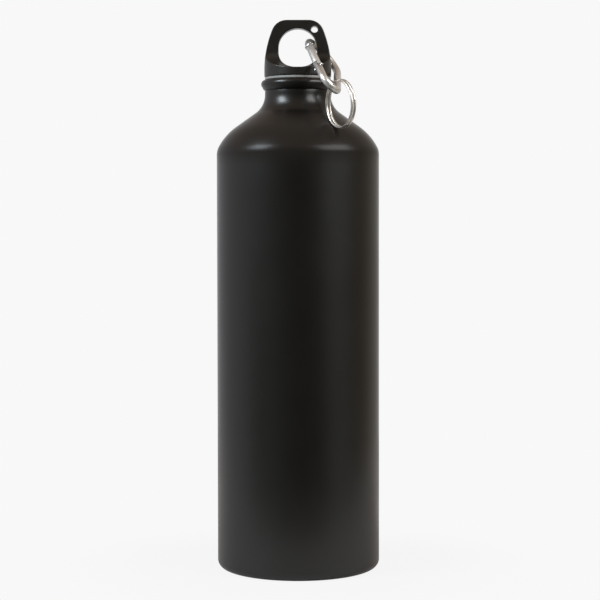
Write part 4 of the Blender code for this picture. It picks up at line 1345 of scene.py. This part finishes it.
def make_world(settings):
    """The room that the pieces mirror, and a plain backdrop behind them for the camera."""
    world = bpy.data.worlds.new("Pale studio")
    bpy.context.scene.world = world
    world.use_nodes = True
    tree = world.node_tree
    tree.nodes.clear()
    x, y, z = split(add(tree, "ShaderNodeTexCoord", output="Generated"))
    bearing = maths("ARCTAN2", x, y * -1.0)
    ramp = tree.nodes.new("ShaderNodeValToRGB")
    feed(ramp.inputs[0], bearing.mapped(-math.pi, math.pi))
    elements = ramp.color_ramp.elements
    while len(elements) < len(WALLS):
        elements.new(0.5)
    for element, (position, colour) in zip(elements, WALLS):
        element.position = position
        element.color = (*colour, 1.0)
    ramp.color_ramp.interpolation = "EASE"
    walls = mixed(z.mapped(*CEILING_EDGE), Output(ramp.outputs[0]), CEILING)
    room = add(tree, "ShaderNodeBackground", {"Color": walls, "Strength": 1.0})
    pale = add(tree, "ShaderNodeBackground", {"Color": WHITE, "Strength": settings.backdrop})
    rays = {socket.name: Output(socket) for socket in outputs(tree, "ShaderNodeLightPath")}
    bounced = maths("MAXIMUM", rays["Is Glossy Ray"], rays["Is Transmission Ray"])
    plain = maths("MAXIMUM", rays["Is Camera Ray"], bounced * y.mapped(*BACKDROP_EDGE))
    mix = add(tree, "ShaderNodeMixShader", {0: plain, 1: room, 2: pale})
    feed(tree.nodes.new("ShaderNodeOutputWorld").inputs["Surface"], mix)


def make_lamp(name, energy, bearing, height, wide, tall, colour=WHITE[:3]):
    """A soft lamp seen from the neck at a bearing from the front and a height angle, in degrees."""
    light = bpy.data.lights.new(name, "AREA")
    light.shape = "RECTANGLE"
    light.size = wide
    light.size_y = tall
    light.energy = energy
    light.color = colour
    obj = link(name, light)
    a, e = math.radians(bearing), math.radians(height)
    away = Vector((math.sin(a) * math.cos(e), -math.cos(a) * math.cos(e), math.sin(e)))
    obj.location = Vector((0, 0, NECK_TOP)) + away * LAMP_DISTANCE
    obj.rotation_euler = away.to_track_quat("Z", "Y").to_euler()


class BOTTLE_OT_stage(bpy.types.Operator):
    """Set the pale floor, the plain backdrop, the lamps and the camera"""

    bl_idname = "bottle.stage"
    bl_label = "Stage and camera"

    def execute(self, context):
        settings = context.scene.bottle_stage
        make_floor(settings)
        make_world(settings)
        make_lamp("Key softbox", settings.key, -61.0, 32.5, wide=0.54, tall=0.66, colour=(0.84, 0.93, 1.0))
        make_lamp("Fill softbox", settings.fill, 58.0, 29.0, wide=1.2, tall=0.8)
        camera = bpy.data.cameras.new("Matched camera")
        camera.lens = LENS
        camera.sensor_width = SENSOR
        camera.sensor_fit = "HORIZONTAL"
        camera.shift_y = CAMERA_SHIFT_Y
        obj = link("Matched camera", camera)
        obj.location = CAMERA_PLACE
        turn = Matrix.Rotation(math.pi / 2 - CAMERA_TILT, 3, "X") @ Matrix.Rotation(CAMERA_ROLL, 3, "Z")
        obj.rotation_euler = turn.to_euler()
        context.scene.camera = obj
        context.scene.view_settings.view_transform = "Standard"
        return {"FINISHED"}


STEPS = ("body", "gasket", "cap", "carabiner", "gate", "ring", "stage")


class BOTTLE_PT_panel(bpy.types.Panel):
    """The bottle's settings and building steps"""

    bl_idname = "BOTTLE_PT_panel"
    bl_label = "Loop-cap bottle"
    bl_space_type = "VIEW_3D"
    bl_region_type = "UI"
    bl_category = "Bottle"

    def draw(self, context):
        for group_name in GROUPS:
            column = self.layout.column()
            settings = getattr(context.scene, group_name)
            for key in settings.bl_rna.properties.keys():
                if key not in ("rna_type", "name"):
                    column.prop(settings, key)
        for step in STEPS:
            self.layout.operator("bottle." + step)


GROUPS = {
    "bottle_body": BottleBodySettings,
    "loop_cap": LoopCapSettings,
    "carabiner": CarabinerSettings,
    "split_ring": SplitRingSettings,
    "bottle_stage": BottleStageSettings,
}
CLASSES = (
    *GROUPS.values(),
    BOTTLE_OT_body,
    BOTTLE_OT_gasket,
    BOTTLE_OT_cap,
    BOTTLE_OT_carabiner,
    BOTTLE_OT_gate,
    BOTTLE_OT_ring,
    BOTTLE_OT_stage,
    BOTTLE_PT_panel,
)


def register():
    for cls in CLASSES:
        bpy.utils.register_class(cls)
    for name, cls in GROUPS.items():
        setattr(bpy.types.Scene, name, bpy.props.PointerProperty(type=cls))


def unregister():
    for name in GROUPS:
        delattr(bpy.types.Scene, name)
    for cls in reversed(CLASSES):
        bpy.utils.unregister_class(cls)


def main():
    register()
    for step in STEPS:
        getattr(bpy.ops.bottle, step)()


if __name__ == "__main__":
    main()
